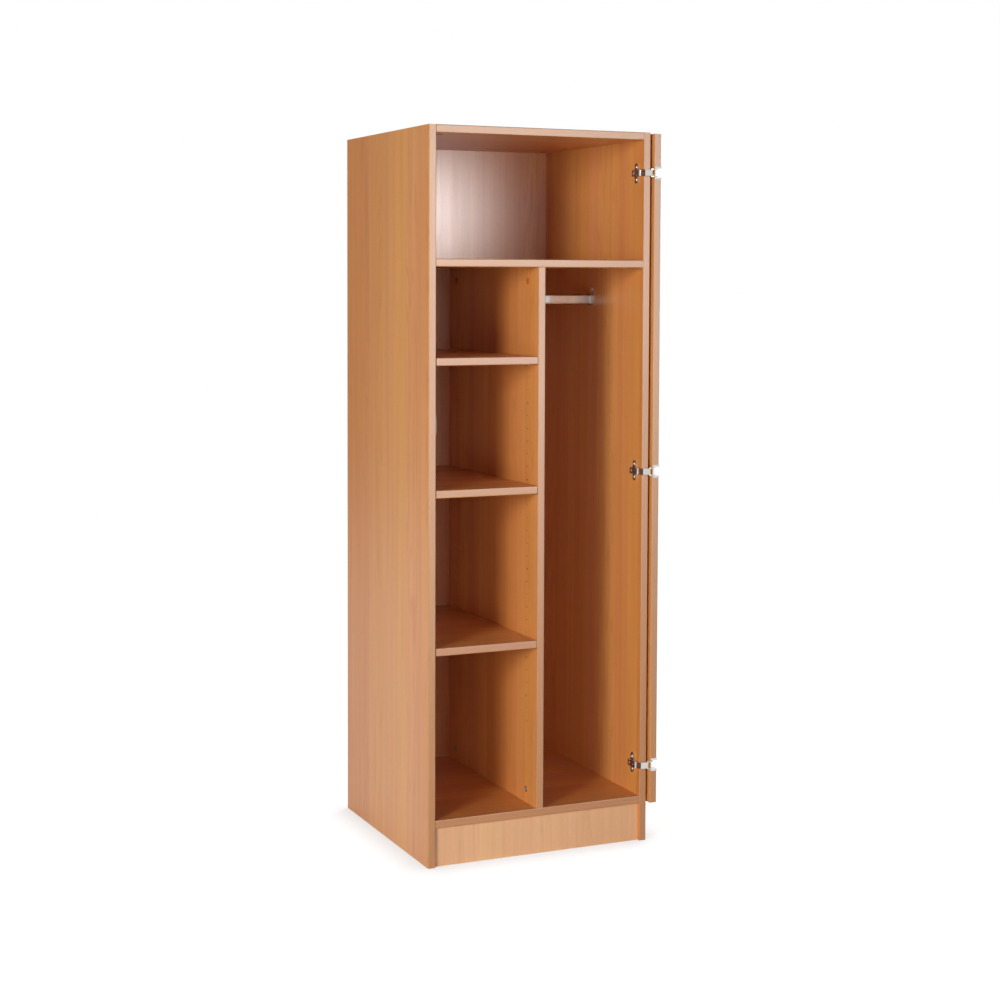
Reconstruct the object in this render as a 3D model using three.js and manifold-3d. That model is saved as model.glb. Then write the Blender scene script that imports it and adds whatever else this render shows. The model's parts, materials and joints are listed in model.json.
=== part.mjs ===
// A single-door wardrobe of melamine-faced chipboard.
// A full-width hat shelf sits over three adjustable shelves on the left and a hanging space on the right.
// The door is hung on the right. Three double-jointed hinges let it fold back flat along the side.
// Millimetres, +Z up. X runs to the right, Y to the back. It is drawn with the door folded back.
import * as THREE from "three";
import { mergeVertices } from "three/addons/utils/BufferGeometryUtils.js";
import Module from "manifold-3d";

const wasm = await Module();
wasm.setup();

// Overall size and boards
const cabinetWidth = 600;
const cabinetDepth = 580;
const cabinetHeight = 1800;
const boardThickness = 19;
const edgeRadius = 2;
const fitGap = 0.3;
const overrun = 5;

// Back panel, let into grooves
const backThickness = 8;
const backInset = 5;
const grooveDepth = 6;

// Heights and inner layout
const plinthHeight = 97;
const plinthRecess = 9;
const hatSpaceHeight = 301;
const leftInsideShare = 0.483;

// Shelf pins in rows of holes
const pinPitch = 32;
const lowestPinAboveBottom = 208;
const highestPinBelowHatShelf = 230;
const pinRowInset = 62.5;
const pinHoleRadius = 2.7;
const pinHoleDepth = 12;
const pinShankRadius = 2.4;
const pinShankLength = 11;
const pinTailRadius = 2.5;
const pinTailLength = 8;
const pinCollarRadius = 3.6;
const pinCollarThickness = 0.6;
const pinChamfer = 0.8;
const shelfPlaceShares = { upper: 1, middle: 0.64, lower: 0.21 };

// Cam connectors that hold the partition
const camRadius = 7.5;
const camDepth = 12.5;
const camInset = 34;
const camSlotLength = 9;
const camSlotWidth = 1.8;
const camSlotDepth = 2;
const capRadius = 8.8;
const capThickness = 1.4;
const capPlugRadius = 6.8;
const capPlugLength = 4;

// Clothes rail
const railHeight = 30;
const railWidth = 15;
const railWall = 1.2;
const railBelowHatShelf = 81.5;
const railCentreDepth = 280;
const supportPlateThickness = 2.2;
const supportWall = 1.8;
const supportCollarLength = 11;
const supportTabWidth = 16;
const supportTabRise = 17;
const supportScrewRadius = 2.2;

// Door
const doorSideReveal = 1;
const doorFrontGap = 2;
const doorTopGap = 3;
const foldedSideGap = 6.6;
const foldedForward = 8;

// Hinges: heights, cup in the door, link between the two pins
const hingeEndInset = 98;
const cupPinFromEdge = 9.7;
const cupPinFromInside = 12.2;
const cupHalfHeight = 16.5;
const cupLength = 36;
const cupDepth = 14;
const cupSlotHalfHeight = 11.5;
const cupSlotLength = 28;
const cupFlangeThickness = 1.2;
const cupFlangeHalfHeight = 26;
const cupFlangeWidth = 16;
const cupFlangeEnd = 40;
const cupEdgePlate = 1;
const cupEdgeReach = 17;
const cupEdgeSlot = 16;
const linkPocketDepth = 16.3;
const linkPocketHalfHeight = 11.2;
const linkWidth = 3;
const linkRunClearance = 0.7;
const linkCrank = 1;
const linkInnerHalfHeight = 8;
const linkPlateThickness = 2.2;
const linkBossRadius = 2.8;
const knuckleRadius = 2.9;
const knuckleHalfHeight = 4.9;
const pinRadius = 1.6;
const pinBoreRadius = 1.9;
const pinHeadRadius = 2.5;
const pinHeadThickness = 0.7;

// Hinge arm and its cross-shaped mounting plate
const armHalfHeight = 7.7;
const armHeightOnWall = 11;
const armEnd = 46;
const armBend = 6;
const armDrop = 3.7;
const armStep = 12;
const armWeb = 1.8;
const armCheek = 1.5;
const armWallGap = 0.6;
const blockBack = 1;
const blockLeftOfPin = 21.4;
const blockRightOfPin = 5.9;
const plateThickness = 4.2;
const plateCentre = 35;
const plateLength = 27;
const plateSpineHalfHeight = 8.5;
const plateWingWidth = 12;
const plateWingReach = 25.5;
const plateRibHalfHeight = 4.5;
const plateRibLength = 24;
const plateScrewSpacing = 32;
const screwHoleRadius = 3.1;
const screwShankRadius = 2.8;
const screwShankLength = 11;
const screwHeadRadius = 4.8;
const screwHeadHeight = 2;
const screwDriveLength = 5;
const screwDriveWidth = 1.1;
const screwDriveDepth = 1;

// Lock and handle
const lockHeight = 1080;
const lockCaseWidth = 40;
const lockCaseHeight = 46;
const lockCaseDepth = 15;
const lockCaseRadius = 4;
const lockSideGap = 3;
const lockBarrelRadius = 9;
const lockBarrelProud = 1;
const lockCoreRadius = 6.5;
const lockCoreProud = 0.6;
const lockCoreTail = 4;
const keySlotLength = 7.5;
const keySlotWidth = 1.6;
const keySlotDepth = 6;
const boltThickness = 6;
const boltHeight = 16;
const boltLength = 30;
const boltFromInside = 6.5;
const boltTravel = 9;
const strikeThickness = 1.2;
const strikeHeight = 44;
const strikeWidth = 16;
const strikeFromFront = 1.5;
const handleHeight = 965;
const handleFromEdge = 44;
const handleLength = 120;
const handleWidth = 40;
const handleLip = 3;
const handleLipThickness = 1.3;
const handleWall = 1.4;
const handleDepth = 12.5;

// Places worked out from the sizes above
const backFace = cabinetDepth - backInset - backThickness;
const innerRight = cabinetWidth - boardThickness;
const innerTop = cabinetHeight - boardThickness;
const bottomTop = plinthHeight + boardThickness;
const hatShelfTop = innerTop - hatSpaceHeight;
const hatUnderside = hatShelfTop - boardThickness;
const insideWidth = innerRight - boardThickness;
const partitionLeft = boardThickness + insideWidth * leftInsideShare;
const partitionRight = partitionLeft + boardThickness;
const innerDepth = backFace - fitGap;
const railCentreHeight = hatUnderside - railBelowHatShelf;
const pinRows = [pinRowInset, cabinetDepth - pinRowInset];
const lowestPin = bottomTop + lowestPinAboveBottom;
const highestPin = hatUnderside - highestPinBelowHatShelf;
const pinHoleCount = Math.floor((highestPin - lowestPin) / pinPitch) + 1;
const shelfEndGap = strikeThickness + fitGap;
const doorWidth = cabinetWidth - 2 * doorSideReveal;
const doorTop = cabinetHeight - doorTopGap;
const doorInsideX = cabinetWidth + foldedSideGap + boardThickness;
const hingeHeights = {
  bottom: plinthHeight + hingeEndInset,
  middle: (plinthHeight + doorTop) / 2,
  top: doorTop - hingeEndInset,
};

// The cup pin's place with the door folded and closed. The fixed pin lies half way between them,
// so the link swings through half a turn while the door swings a quarter turn on the link.
const cupPinFolded = new THREE.Vector2(doorInsideX - cupPinFromInside, cupPinFromEdge - foldedForward);
const cupPinClosed = new THREE.Vector2(
  cabinetWidth - doorSideReveal - cupPinFromEdge,
  -doorFrontGap - cupPinFromInside,
);
const fixedPin = cupPinFolded.clone().add(cupPinClosed).multiplyScalar(1 / 2);

// Turns a closed geometry into a solid
function solid(geometry) {
  const bare = geometry.index ? geometry.toNonIndexed() : geometry.clone();
  bare.deleteAttribute("normal");
  bare.deleteAttribute("uv");
  const merged = mergeVertices(bare);
  const mesh = new wasm.Mesh({
    numProp: 3,
    vertProperties: new Float32Array(merged.attributes.position.array),
    triVerts: new Uint32Array(merged.index.array),
  });
  return new wasm.Manifold(mesh);
}

function geometryOf(body) {
  const mesh = body.getMesh();
  const geometry = new THREE.BufferGeometry();
  geometry.setAttribute("position", new THREE.BufferAttribute(mesh.vertProperties, 3));
  geometry.setIndex(new THREE.BufferAttribute(mesh.triVerts, 1));
  geometry.computeVertexNormals();
  return geometry;
}

function material(color, roughness, metalness) {
  return new THREE.MeshStandardMaterial({ color, roughness, metalness });
}

function piece(name, body, finish) {
  const mesh = new THREE.Mesh(geometryOf(body), material(...finish));
  mesh.name = name;
  return mesh;
}

// Finishes: colour, roughness, metalness
const beechBoard = [0xc58d5f, 0.45, 0];
const beechBack = [0xb98a63, 0.55, 0];
const nickel = [0xc9cbcd, 0.25, 0.9];
const darkNickel = [0x8d8a86, 0.3, 0.9];
const brass = [0xb8924e, 0.35, 0.9];
const zinc = [0xa7a49d, 0.4, 0.8];
const chrome = [0xd5d7da, 0.12, 1];
const capPlastic = [0xb5652b, 0.5, 0];
const satinMetal = [0xb7b6b2, 0.35, 0.8];

// A flat outline is drawn in a plane and pushed along the third axis
const alongZ = new THREE.Matrix4();
const alongX = new THREE.Matrix4().makeBasis(
  new THREE.Vector3(0, 1, 0),
  new THREE.Vector3(0, 0, 1),
  new THREE.Vector3(1, 0, 0),
);
const alongY = new THREE.Matrix4().makeBasis(
  new THREE.Vector3(1, 0, 0),
  new THREE.Vector3(0, 0, -1),
  new THREE.Vector3(0, 1, 0),
);

function extrude(shape, low, high, axis = alongZ, curveSegments = 5) {
  const geometry = new THREE.ExtrudeGeometry(shape, {
    depth: high - low,
    bevelEnabled: false,
    curveSegments,
  });
  geometry.translate(0, 0, low);
  geometry.applyMatrix4(axis);
  return solid(geometry);
}

function block(low, high) {
  const size = high.map((value, i) => value - low[i]);
  const geometry = new THREE.BoxGeometry(...size);
  geometry.translate(...low.map((value, i) => value + size[i] / 2));
  return solid(geometry);
}

function rod(radius, low, high, sides = 12) {
  const geometry = new THREE.CylinderGeometry(radius, radius, high - low, sides);
  geometry.rotateX(Math.PI / 2);
  geometry.translate(0, 0, (low + high) / 2);
  return solid(geometry);
}

// A rod through a point of the plan, reaching as far up as down
function rodAt(point, radius, half) {
  return rod(radius, -half, half).translate(point.x, point.y, 0);
}

function rodAlongX(radius, from, to, y, z, sides) {
  const geometry = new THREE.CylinderGeometry(radius, radius, to - from, sides);
  geometry.rotateZ(Math.PI / 2);
  geometry.translate((from + to) / 2, y, z);
  return solid(geometry);
}

function rodAlongY(radius, from, to, x, z, sides) {
  const geometry = new THREE.CylinderGeometry(radius, radius, to - from, sides);
  geometry.translate(x, (from + to) / 2, z);
  return solid(geometry);
}

// A turned piece from radius and height pairs, with its axis along local Z
function turned(profile, sides = 10) {
  const points = profile.map(([radius, height]) => new THREE.Vector2(radius, height));
  const geometry = new THREE.LatheGeometry(points, sides);
  geometry.rotateX(Math.PI / 2);
  return solid(geometry);
}

function union(bodies) {
  return bodies.reduce((sum, body) => sum.add(body));
}

function cut(body, tools) {
  return tools.length ? body.subtract(union(tools)) : body;
}

// A round-ended slot outline: overall width along the first axis, height along the second
function slotOutline(width, height, x = 0, y = 0) {
  const radius = Math.min(width, height) / 2;
  const shape = new THREE.Shape();
  if (height > width) {
    const reach = height / 2 - radius;
    shape.absarc(x, y + reach, radius, 0, Math.PI, false);
    shape.absarc(x, y - reach, radius, Math.PI, 2 * Math.PI, false);
  } else {
    const reach = width / 2 - radius;
    shape.absarc(x + reach, y, radius, -Math.PI / 2, Math.PI / 2, false);
    shape.absarc(x - reach, y, radius, Math.PI / 2, 1.5 * Math.PI, false);
  }
  return shape;
}

// A rectangle with its corners rounded by a radius each, or left square by a radius of zero
function roundedOutline(x0, x1, y0, y1, [lowLeft, lowRight, highRight, highLeft]) {
  const quarter = Math.PI / 2;
  const shape = new THREE.Shape();
  const turn = (x, y, radius, start) => {
    if (radius > 0) shape.absarc(x, y, radius, start, start + quarter, false);
    else shape.lineTo(x, y);
  };
  shape.moveTo(x0 + lowLeft, y0);
  turn(x1 - lowRight, y0 + lowRight, lowRight, 3 * quarter);
  turn(x1 - highRight, y1 - highRight, highRight, 0);
  turn(x0 + highLeft, y1 - highLeft, highLeft, quarter);
  if (lowLeft > 0) turn(x0 + lowLeft, y0 + lowLeft, lowLeft, 2 * quarter);
  return shape;
}

// Boards have a rounded edging along the front
function standingBoard(x0, x1, y0, y1, z0, z1) {
  const outline = roundedOutline(x0, x1, y0, y1, [edgeRadius, edgeRadius, 0, 0]);
  return extrude(outline, z0, z1, alongZ, 3);
}

function lyingBoard(x0, x1, y0, y1, z0, z1) {
  const outline = roundedOutline(y0, y1, z0, z1, [edgeRadius, 0, 0, edgeRadius]);
  return extrude(outline, x0, x1, alongX, 3);
}

// Carcass

const grooveFront = backFace - fitGap;
const grooveRear = backFace + backThickness + fitGap;

function pinHeight(index) {
  return lowestPin + index * pinPitch;
}

function pinHoles(faceX, direction) {
  const holes = [];
  const ends = [faceX - direction * overrun, faceX + direction * pinHoleDepth].sort((a, b) => a - b);
  for (const y of pinRows) {
    for (let i = 0; i < pinHoleCount; i++) {
      holes.push(rodAlongX(pinHoleRadius, ends[0], ends[1], y, pinHeight(i), 8));
    }
  }
  return holes;
}

const boltCentreY = -doorFrontGap + boltFromInside + boltThickness / 2;

// The space that the bolt shoots into, cut from the strike and from the board behind it
function boltOpening(x0, x1) {
  const halfThickness = boltThickness / 2 + 2 * fitGap;
  const halfHeight = boltHeight / 2 + 2 * fitGap;
  return block(
    [x0, boltCentreY - halfThickness, lockHeight - halfHeight],
    [x1, boltCentreY + halfThickness, lockHeight + halfHeight],
  );
}

function sideGroove(x0, x1) {
  return block([x0, grooveFront, bottomTop - grooveDepth], [x1, grooveRear, innerTop + grooveDepth]);
}

function leftSidePanel() {
  const board = standingBoard(0, boardThickness, 0, cabinetDepth, 0, cabinetHeight);
  const groove = sideGroove(boardThickness - grooveDepth, boardThickness + overrun);
  const mortise = boltOpening(boardThickness - boltTravel, boardThickness + overrun);
  return piece("left_side_panel", cut(board, [groove, mortise, ...pinHoles(boardThickness, -1)]), beechBoard);
}

function rightSidePanel() {
  const board = standingBoard(innerRight, cabinetWidth, 0, cabinetDepth, 0, cabinetHeight);
  const tools = [sideGroove(innerRight - overrun, innerRight + grooveDepth)];
  for (const height of Object.values(hingeHeights)) {
    for (const side of [-1, 1]) {
      const z = height + (side * plateScrewSpacing) / 2;
      const end = innerRight + pinHoleDepth;
      tools.push(rodAlongX(screwHoleRadius, innerRight - overrun, end, plateCentre, z, 10));
    }
  }
  return piece("right_side_panel", cut(board, tools), beechBoard);
}

function topPanel() {
  const board = lyingBoard(boardThickness, innerRight, 0, cabinetDepth, innerTop, cabinetHeight);
  const low = [0, grooveFront, innerTop - overrun];
  const groove = block(low, [cabinetWidth, grooveRear, innerTop + grooveDepth]);
  return piece("top_panel", cut(board, [groove]), beechBoard);
}

function bottomPanel() {
  const board = lyingBoard(boardThickness, innerRight, 0, cabinetDepth, plinthHeight, bottomTop);
  const low = [0, grooveFront, bottomTop - grooveDepth];
  const groove = block(low, [cabinetWidth, grooveRear, bottomTop + overrun]);
  return piece("bottom_panel", cut(board, [groove]), beechBoard);
}

function hatShelf() {
  const board = lyingBoard(boardThickness, innerRight, 0, innerDepth, hatUnderside, hatShelfTop);
  return piece("hat_shelf", board, beechBoard);
}

const camHeights = { top: hatUnderside - camInset, bottom: bottomTop + camInset };

function partition() {
  const board = standingBoard(partitionLeft, partitionRight, 0, innerDepth, bottomTop, hatUnderside);
  const tools = pinHoles(partitionLeft, 1);
  for (const y of pinRows) {
    for (const z of Object.values(camHeights)) {
      const end = partitionLeft + camDepth + fitGap;
      tools.push(rodAlongX(camRadius + fitGap, partitionLeft - overrun, end, y, z, 20));
    }
  }
  return piece("partition", cut(board, tools), beechBoard);
}

function backPanel() {
  const reach = grooveDepth - fitGap;
  const low = [boardThickness - reach, backFace, bottomTop - reach];
  const high = [innerRight + reach, backFace + backThickness, innerTop + reach];
  return piece("back_panel", block(low, high), beechBack);
}

function plinthBoard() {
  const front = plinthRecess;
  const board = block([boardThickness, front, 0], [innerRight, front + boardThickness, plinthHeight]);
  return piece("plinth_board", board, beechBoard);
}

// A shelf lies on four pins, in the holes nearest to its share of the row's height
function shelfIndex(share) {
  return Math.round(share * (pinHoleCount - 1));
}

// It is short enough to pass the strike when it is moved to another hole
function adjustableShelf(name, index) {
  const underside = pinHeight(index) + pinTailRadius + fitGap;
  const x0 = boardThickness + shelfEndGap;
  const x1 = partitionLeft - shelfEndGap;
  const board = lyingBoard(x0, x1, 0, innerDepth, underside, underside + boardThickness);
  return piece(`shelf_${name}`, board, beechBoard);
}

// A push-in pin: shank in the hole, thin collar on the board, round tail under the shelf
function shelfPin(name, x, y, z, direction) {
  const body = turned([
    [0, -pinShankLength],
    [pinShankRadius, -pinShankLength],
    [pinShankRadius, 0],
    [pinCollarRadius, 0],
    [pinCollarRadius, pinCollarThickness],
    [pinTailRadius, pinCollarThickness],
    [pinTailRadius, pinTailLength - pinChamfer],
    [pinTailRadius - pinChamfer, pinTailLength],
    [0, pinTailLength],
  ], 8);
  const pin = piece(name, body, nickel);
  pin.position.set(x, y, z);
  pin.rotation.y = (direction * Math.PI) / 2;
  return pin;
}

function shelfPins(name, index) {
  const pins = [];
  for (const [row, y] of [["front", pinRows[0]], ["rear", pinRows[1]]]) {
    const z = pinHeight(index);
    pins.push(shelfPin(`pin_${name}_left_${row}`, boardThickness, y, z, 1));
    pins.push(shelfPin(`pin_${name}_right_${row}`, partitionLeft, y, z, -1));
  }
  return pins;
}

// A slotted cam, flush in its bore, pulls the partition tight
function connectorCam(name, y, z) {
  const body = rodAlongX(camRadius, partitionLeft, partitionLeft + camDepth, y, z, 20);
  const slots = [
    block(
      [partitionLeft - overrun, y - camSlotLength / 2, z - camSlotWidth / 2],
      [partitionLeft + camSlotDepth, y + camSlotLength / 2, z + camSlotWidth / 2],
    ),
    block(
      [partitionLeft - overrun, y - camSlotWidth / 2, z - camSlotLength / 2],
      [partitionLeft + camSlotDepth, y + camSlotWidth / 2, z + camSlotLength / 2],
    ),
  ];
  return piece(name, cut(body, slots), zinc);
}

// A push-in plastic cap closes a bore with a thin, slightly domed disc
function connectorCap(name, y, z) {
  const body = turned([
    [0, -capPlugLength],
    [capPlugRadius, -capPlugLength],
    [capPlugRadius, 0],
    [capRadius, 0],
    [capRadius, capThickness / 2],
    [capPlugRadius, capThickness],
    [0, capThickness],
  ], 16);
  const cap = piece(name, body, capPlastic);
  cap.position.set(partitionLeft - fitGap, y, z);
  cap.rotation.y = -Math.PI / 2;
  return cap;
}

// Clothes rail

function clothesRail() {
  const outer = slotOutline(railWidth, railHeight);
  outer.holes.push(slotOutline(railWidth - 2 * railWall, railHeight - 2 * railWall));
  const margin = supportPlateThickness + fitGap;
  const body = extrude(outer, partitionRight + margin, innerRight - margin, alongX);
  const rail = piece("clothes_rail", body, chrome);
  rail.position.set(0, railCentreDepth, railCentreHeight);
  return rail;
}

// The end support: a plate on the wall with a screw tab above, and a collar round the tube
function railSupport(name, wallX, direction) {
  const grown = railWidth + 2 * (fitGap + supportWall);
  const tall = railHeight + 2 * (fitGap + supportWall);
  const tabTop = tall / 2 + supportTabRise;
  const tab = slotOutline(supportTabWidth, tabTop, 0, tabTop / 2);
  const ear = extrude(tab, 0, supportPlateThickness, alongX, 4);
  const collar = extrude(slotOutline(grown, tall), 0, supportCollarLength, alongX, 4);
  const bore = slotOutline(railWidth + 2 * fitGap, railHeight + 2 * fitGap);
  const opening = extrude(bore, supportPlateThickness, supportCollarLength + overrun, alongX, 4);
  const screwZ = tabTop - supportTabWidth / 2;
  const hole = rodAlongX(supportScrewRadius, -overrun, supportPlateThickness + overrun, 0, screwZ, 12);
  const support = piece(name, cut(ear.add(collar), [opening, hole]), nickel);
  support.position.set(wallX, railCentreDepth, railCentreHeight);
  support.rotation.z = direction > 0 ? 0 : Math.PI;
  return support;
}

// Hinge: fixed side. Local height zero is the middle of the hinge.

function mountingPlate(name) {
  const x0 = innerRight - plateThickness;
  const spineOutline = slotOutline(plateLength, 2 * plateSpineHalfHeight, plateCentre);
  const wingOutline = slotOutline(plateWingWidth, 2 * plateWingReach, plateCentre);
  const spine = extrude(spineOutline, x0, innerRight, alongX, 3);
  const wings = extrude(wingOutline, x0, innerRight, alongX, 3);
  const ribX = innerRight - armHeightOnWall + armWeb + fitGap;
  const rib = block(
    [ribX, plateCentre - plateRibLength / 2, -plateRibHalfHeight],
    [innerRight, plateCentre + plateRibLength / 2, plateRibHalfHeight],
  );
  const holes = [-1, 1].map((side) => {
    const z = (side * plateScrewSpacing) / 2;
    return rodAlongX(screwHoleRadius, x0 - overrun, innerRight + overrun, plateCentre, z, 10);
  });
  return piece(name, cut(union([spine, wings, rib]), holes), darkNickel);
}

// A euro screw: straight shank, low domed head, cross slot
function plateScrew(name, side) {
  const body = turned([
    [0, -screwShankLength],
    [screwShankRadius, -screwShankLength],
    [screwShankRadius, plateThickness + fitGap],
    [screwHeadRadius, plateThickness + fitGap],
    [screwHeadRadius, plateThickness + screwHeadHeight / 2],
    [screwHeadRadius / 2, plateThickness + screwHeadHeight],
    [0, plateThickness + screwHeadHeight],
  ]);
  const top = plateThickness + screwHeadHeight;
  const half = [screwDriveLength / 2, screwDriveWidth / 2];
  const slots = [[0, 1], [1, 0]].map(([a, b]) => block(
    [-half[a], -half[b], top - screwDriveDepth],
    [half[a], half[b], top + overrun],
  ));
  const screw = piece(name, cut(body, slots), nickel);
  screw.position.set(innerRight, plateCentre, (side * plateScrewSpacing) / 2);
  screw.rotation.y = -Math.PI / 2;
  return screw;
}

// The arm grips the plate's rib, runs forward along the wall, steps down and bends round the front edge.
// Its block ends in two ears that hold the fixed pin's thick middle.
function hingeArm(name) {
  const outline = new THREE.Shape();
  const webX = innerRight - armHeightOnWall;
  const cheekX = innerRight - plateThickness - fitGap;
  outline.moveTo(webX, armEnd);
  outline.lineTo(webX, armBend);
  outline.lineTo(webX + armDrop, armBend);
  outline.lineTo(fixedPin.x - blockLeftOfPin, fixedPin.y - knuckleRadius);
  outline.absarc(fixedPin.x, fixedPin.y, knuckleRadius, -Math.PI / 2, Math.PI / 2, false);
  outline.lineTo(fixedPin.x - blockRightOfPin, -blockBack);
  outline.lineTo(innerRight - armWallGap, -blockBack);
  outline.lineTo(innerRight - armWallGap, armStep);
  outline.lineTo(cheekX, armStep);
  outline.lineTo(cheekX, armEnd);
  outline.closePath();
  const body = extrude(outline, -armHalfHeight, armHalfHeight);
  const innerHalf = armHalfHeight - armCheek;
  const channel = block(
    [webX + armWeb, armStep, -innerHalf],
    [innerRight, armEnd + overrun, innerHalf],
  );
  const pocketHalf = knuckleHalfHeight + fitGap;
  const pocket = rodAt(fixedPin, knuckleRadius + fitGap, pocketHalf);
  const bore = rodAt(fixedPin, pinBoreRadius, armHalfHeight + overrun);
  return piece(name, cut(body, [channel, pocket, bore]), nickel);
}

// Hinge: moving link. A crank of two plates joined by the barrel round the cup pin.

// A straight round-ended bar between two points of the plan
function strap(from, to, low, high) {
  const along = to.clone().sub(from);
  const outline = slotOutline(along.length() + linkWidth, linkWidth, along.length() / 2);
  const bar = extrude(outline, low, high, alongZ, 2);
  return bar.rotate(0, 0, THREE.MathUtils.radToDeg(along.angle())).translate(from.x, from.y, 0);
}

const linkOuterHalfHeight = linkInnerHalfHeight + linkPlateThickness;
const linkRunY = -foldedForward - linkRunClearance - linkWidth / 2;

function linkPlate(low, high) {
  const corners = [
    new THREE.Vector2(fixedPin.x, fixedPin.y),
    new THREE.Vector2(fixedPin.x + linkCrank, linkRunY),
    new THREE.Vector2(cupPinFolded.x, linkRunY),
    new THREE.Vector2(cupPinFolded.x, cupPinFolded.y),
  ];
  const straps = [0, 1, 2].map((i) => strap(corners[i], corners[i + 1], low, high));
  const eye = rod(knuckleRadius, low, high).translate(fixedPin.x, fixedPin.y, 0);
  return union([...straps, eye]);
}

function hingeLink(name) {
  const upper = linkPlate(linkInnerHalfHeight, linkOuterHalfHeight);
  const lower = linkPlate(-linkOuterHalfHeight, -linkInnerHalfHeight);
  const barrel = rodAt(cupPinFolded, linkBossRadius, linkOuterHalfHeight);
  const reach = linkOuterHalfHeight + overrun;
  const bores = [fixedPin, cupPinFolded].map((pin) => rodAt(pin, pinBoreRadius, reach));
  return piece(name, cut(union([upper, lower, barrel]), bores), nickel);
}

// The fixed pin is stepped: a thick brass middle, thin ends through the ears and the link, riveted heads
function knucklePin(name) {
  const headLow = linkOuterHalfHeight + fitGap;
  const headHigh = headLow + pinHeadThickness;
  const upper = [
    [pinHeadRadius, headHigh],
    [pinHeadRadius, headLow],
    [pinRadius, headLow],
    [pinRadius, knuckleHalfHeight],
    [knuckleRadius, knuckleHalfHeight],
  ];
  const lower = upper.map(([radius, height]) => [radius, -height]).reverse();
  const profile = [[0, headHigh], ...upper, ...lower, [0, -headHigh]].reverse();
  const pin = piece(name, turned(profile, 8), brass);
  pin.position.set(fixedPin.x, fixedPin.y, 0);
  return pin;
}

// Door side. Local x runs from the hinge edge into the door, local y from its inside face outwards.

function cupOutline(grow) {
  const half = cupHalfHeight + grow;
  const shape = new THREE.Shape();
  shape.moveTo(0, half);
  shape.lineTo(0, -half);
  shape.absarc(cupLength - cupHalfHeight, 0, half, -Math.PI / 2, Math.PI / 2, false);
  shape.closePath();
  return shape;
}

function flangeOutline() {
  const radius = cupHalfHeight / 2;
  return roundedOutline(0, cupFlangeEnd, -cupHalfHeight, cupHalfHeight, [0, radius, radius, 0]);
}

const cupPinInDoor = new THREE.Vector2(cupPinFromEdge, cupPinFromInside);

function hingeCup(name) {
  const shell = extrude(cupOutline(0), 0, cupDepth, alongY, 4);
  const flange = extrude(flangeOutline(), -cupFlangeThickness, 0, alongY, 3);
  const wingOutline = slotOutline(cupFlangeWidth, 2 * cupFlangeHalfHeight, cupLength - cupHalfHeight);
  const wings = extrude(wingOutline, -cupFlangeThickness, 0, alongY, 3);
  const edgePlate = block(
    [0, -cupFlangeThickness, -cupHalfHeight],
    [cupEdgePlate, cupEdgeReach, cupHalfHeight],
  );
  const slot = block(
    [-overrun, -cupFlangeThickness - overrun, -cupSlotHalfHeight],
    [cupSlotLength, cupEdgeSlot, cupSlotHalfHeight],
  );
  const bore = rodAt(cupPinInDoor, pinBoreRadius, cupHalfHeight + overrun);
  return piece(name, cut(union([shell, flange, wings, edgePlate]), [slot, bore]), nickel);
}

function cupPocket() {
  const low = -overrun;
  const shell = extrude(cupOutline(fitGap), low, cupDepth + fitGap, alongY, 4);
  const mouth = block(
    [-overrun, -overrun, -cupHalfHeight - fitGap],
    [cupEdgePlate + fitGap, cupEdgeReach + fitGap, cupHalfHeight + fitGap],
  );
  const run = block(
    [-overrun, -overrun, -linkPocketHalfHeight],
    [cupSlotLength, linkPocketDepth, linkPocketHalfHeight],
  );
  return union([shell, mouth, run]);
}

function cupPin(name) {
  const half = cupHalfHeight - fitGap;
  const pin = piece(name, rod(pinRadius, -half, half), zinc);
  pin.position.set(cupPinFromEdge, cupPinFromInside, 0);
  return pin;
}

const strikeFaceFromEdge = cabinetWidth - doorSideReveal - boardThickness;
const caseEnd = strikeFaceFromEdge - lockSideGap;
const caseStart = caseEnd - lockCaseWidth;
const lockAxis = (caseStart + caseEnd) / 2;
const handleAxis = doorWidth - handleFromEdge;

function handleOutline(grow) {
  return slotOutline(handleWidth + 2 * grow, handleLength + 2 * grow, handleAxis, -handleHeight);
}

function door() {
  const corners = [edgeRadius, edgeRadius, edgeRadius, edgeRadius];
  const outline = roundedOutline(0, doorWidth, 0, boardThickness, corners);
  const board = extrude(outline, plinthHeight, doorTop, alongZ, 3);
  const tools = Object.values(hingeHeights).map((height) => cupPocket().translate(0, 0, height));
  const barrelHole = lockBarrelRadius + fitGap;
  tools.push(rodAlongY(barrelHole, -overrun, boardThickness + overrun, lockAxis, lockHeight, 20));
  const pocketFloor = boardThickness - handleDepth - fitGap;
  tools.push(extrude(handleOutline(fitGap - handleLip), pocketFloor, boardThickness + overrun, alongY));
  return piece("door", cut(board, tools), beechBoard);
}

// A flush pull: a thin lip on the face round a shallow tray
function doorHandle() {
  const face = boardThickness;
  const lip = extrude(handleOutline(0), face, face + handleLipThickness, alongY);
  const tray = extrude(handleOutline(-handleLip), face - handleDepth, face, alongY);
  const inside = handleOutline(-handleLip - handleWall);
  const hollow = extrude(inside, face - handleDepth + handleWall, face + overrun, alongY);
  return piece("door_handle", cut(union([lip, tray]), [hollow]), satinMetal);
}

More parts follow.
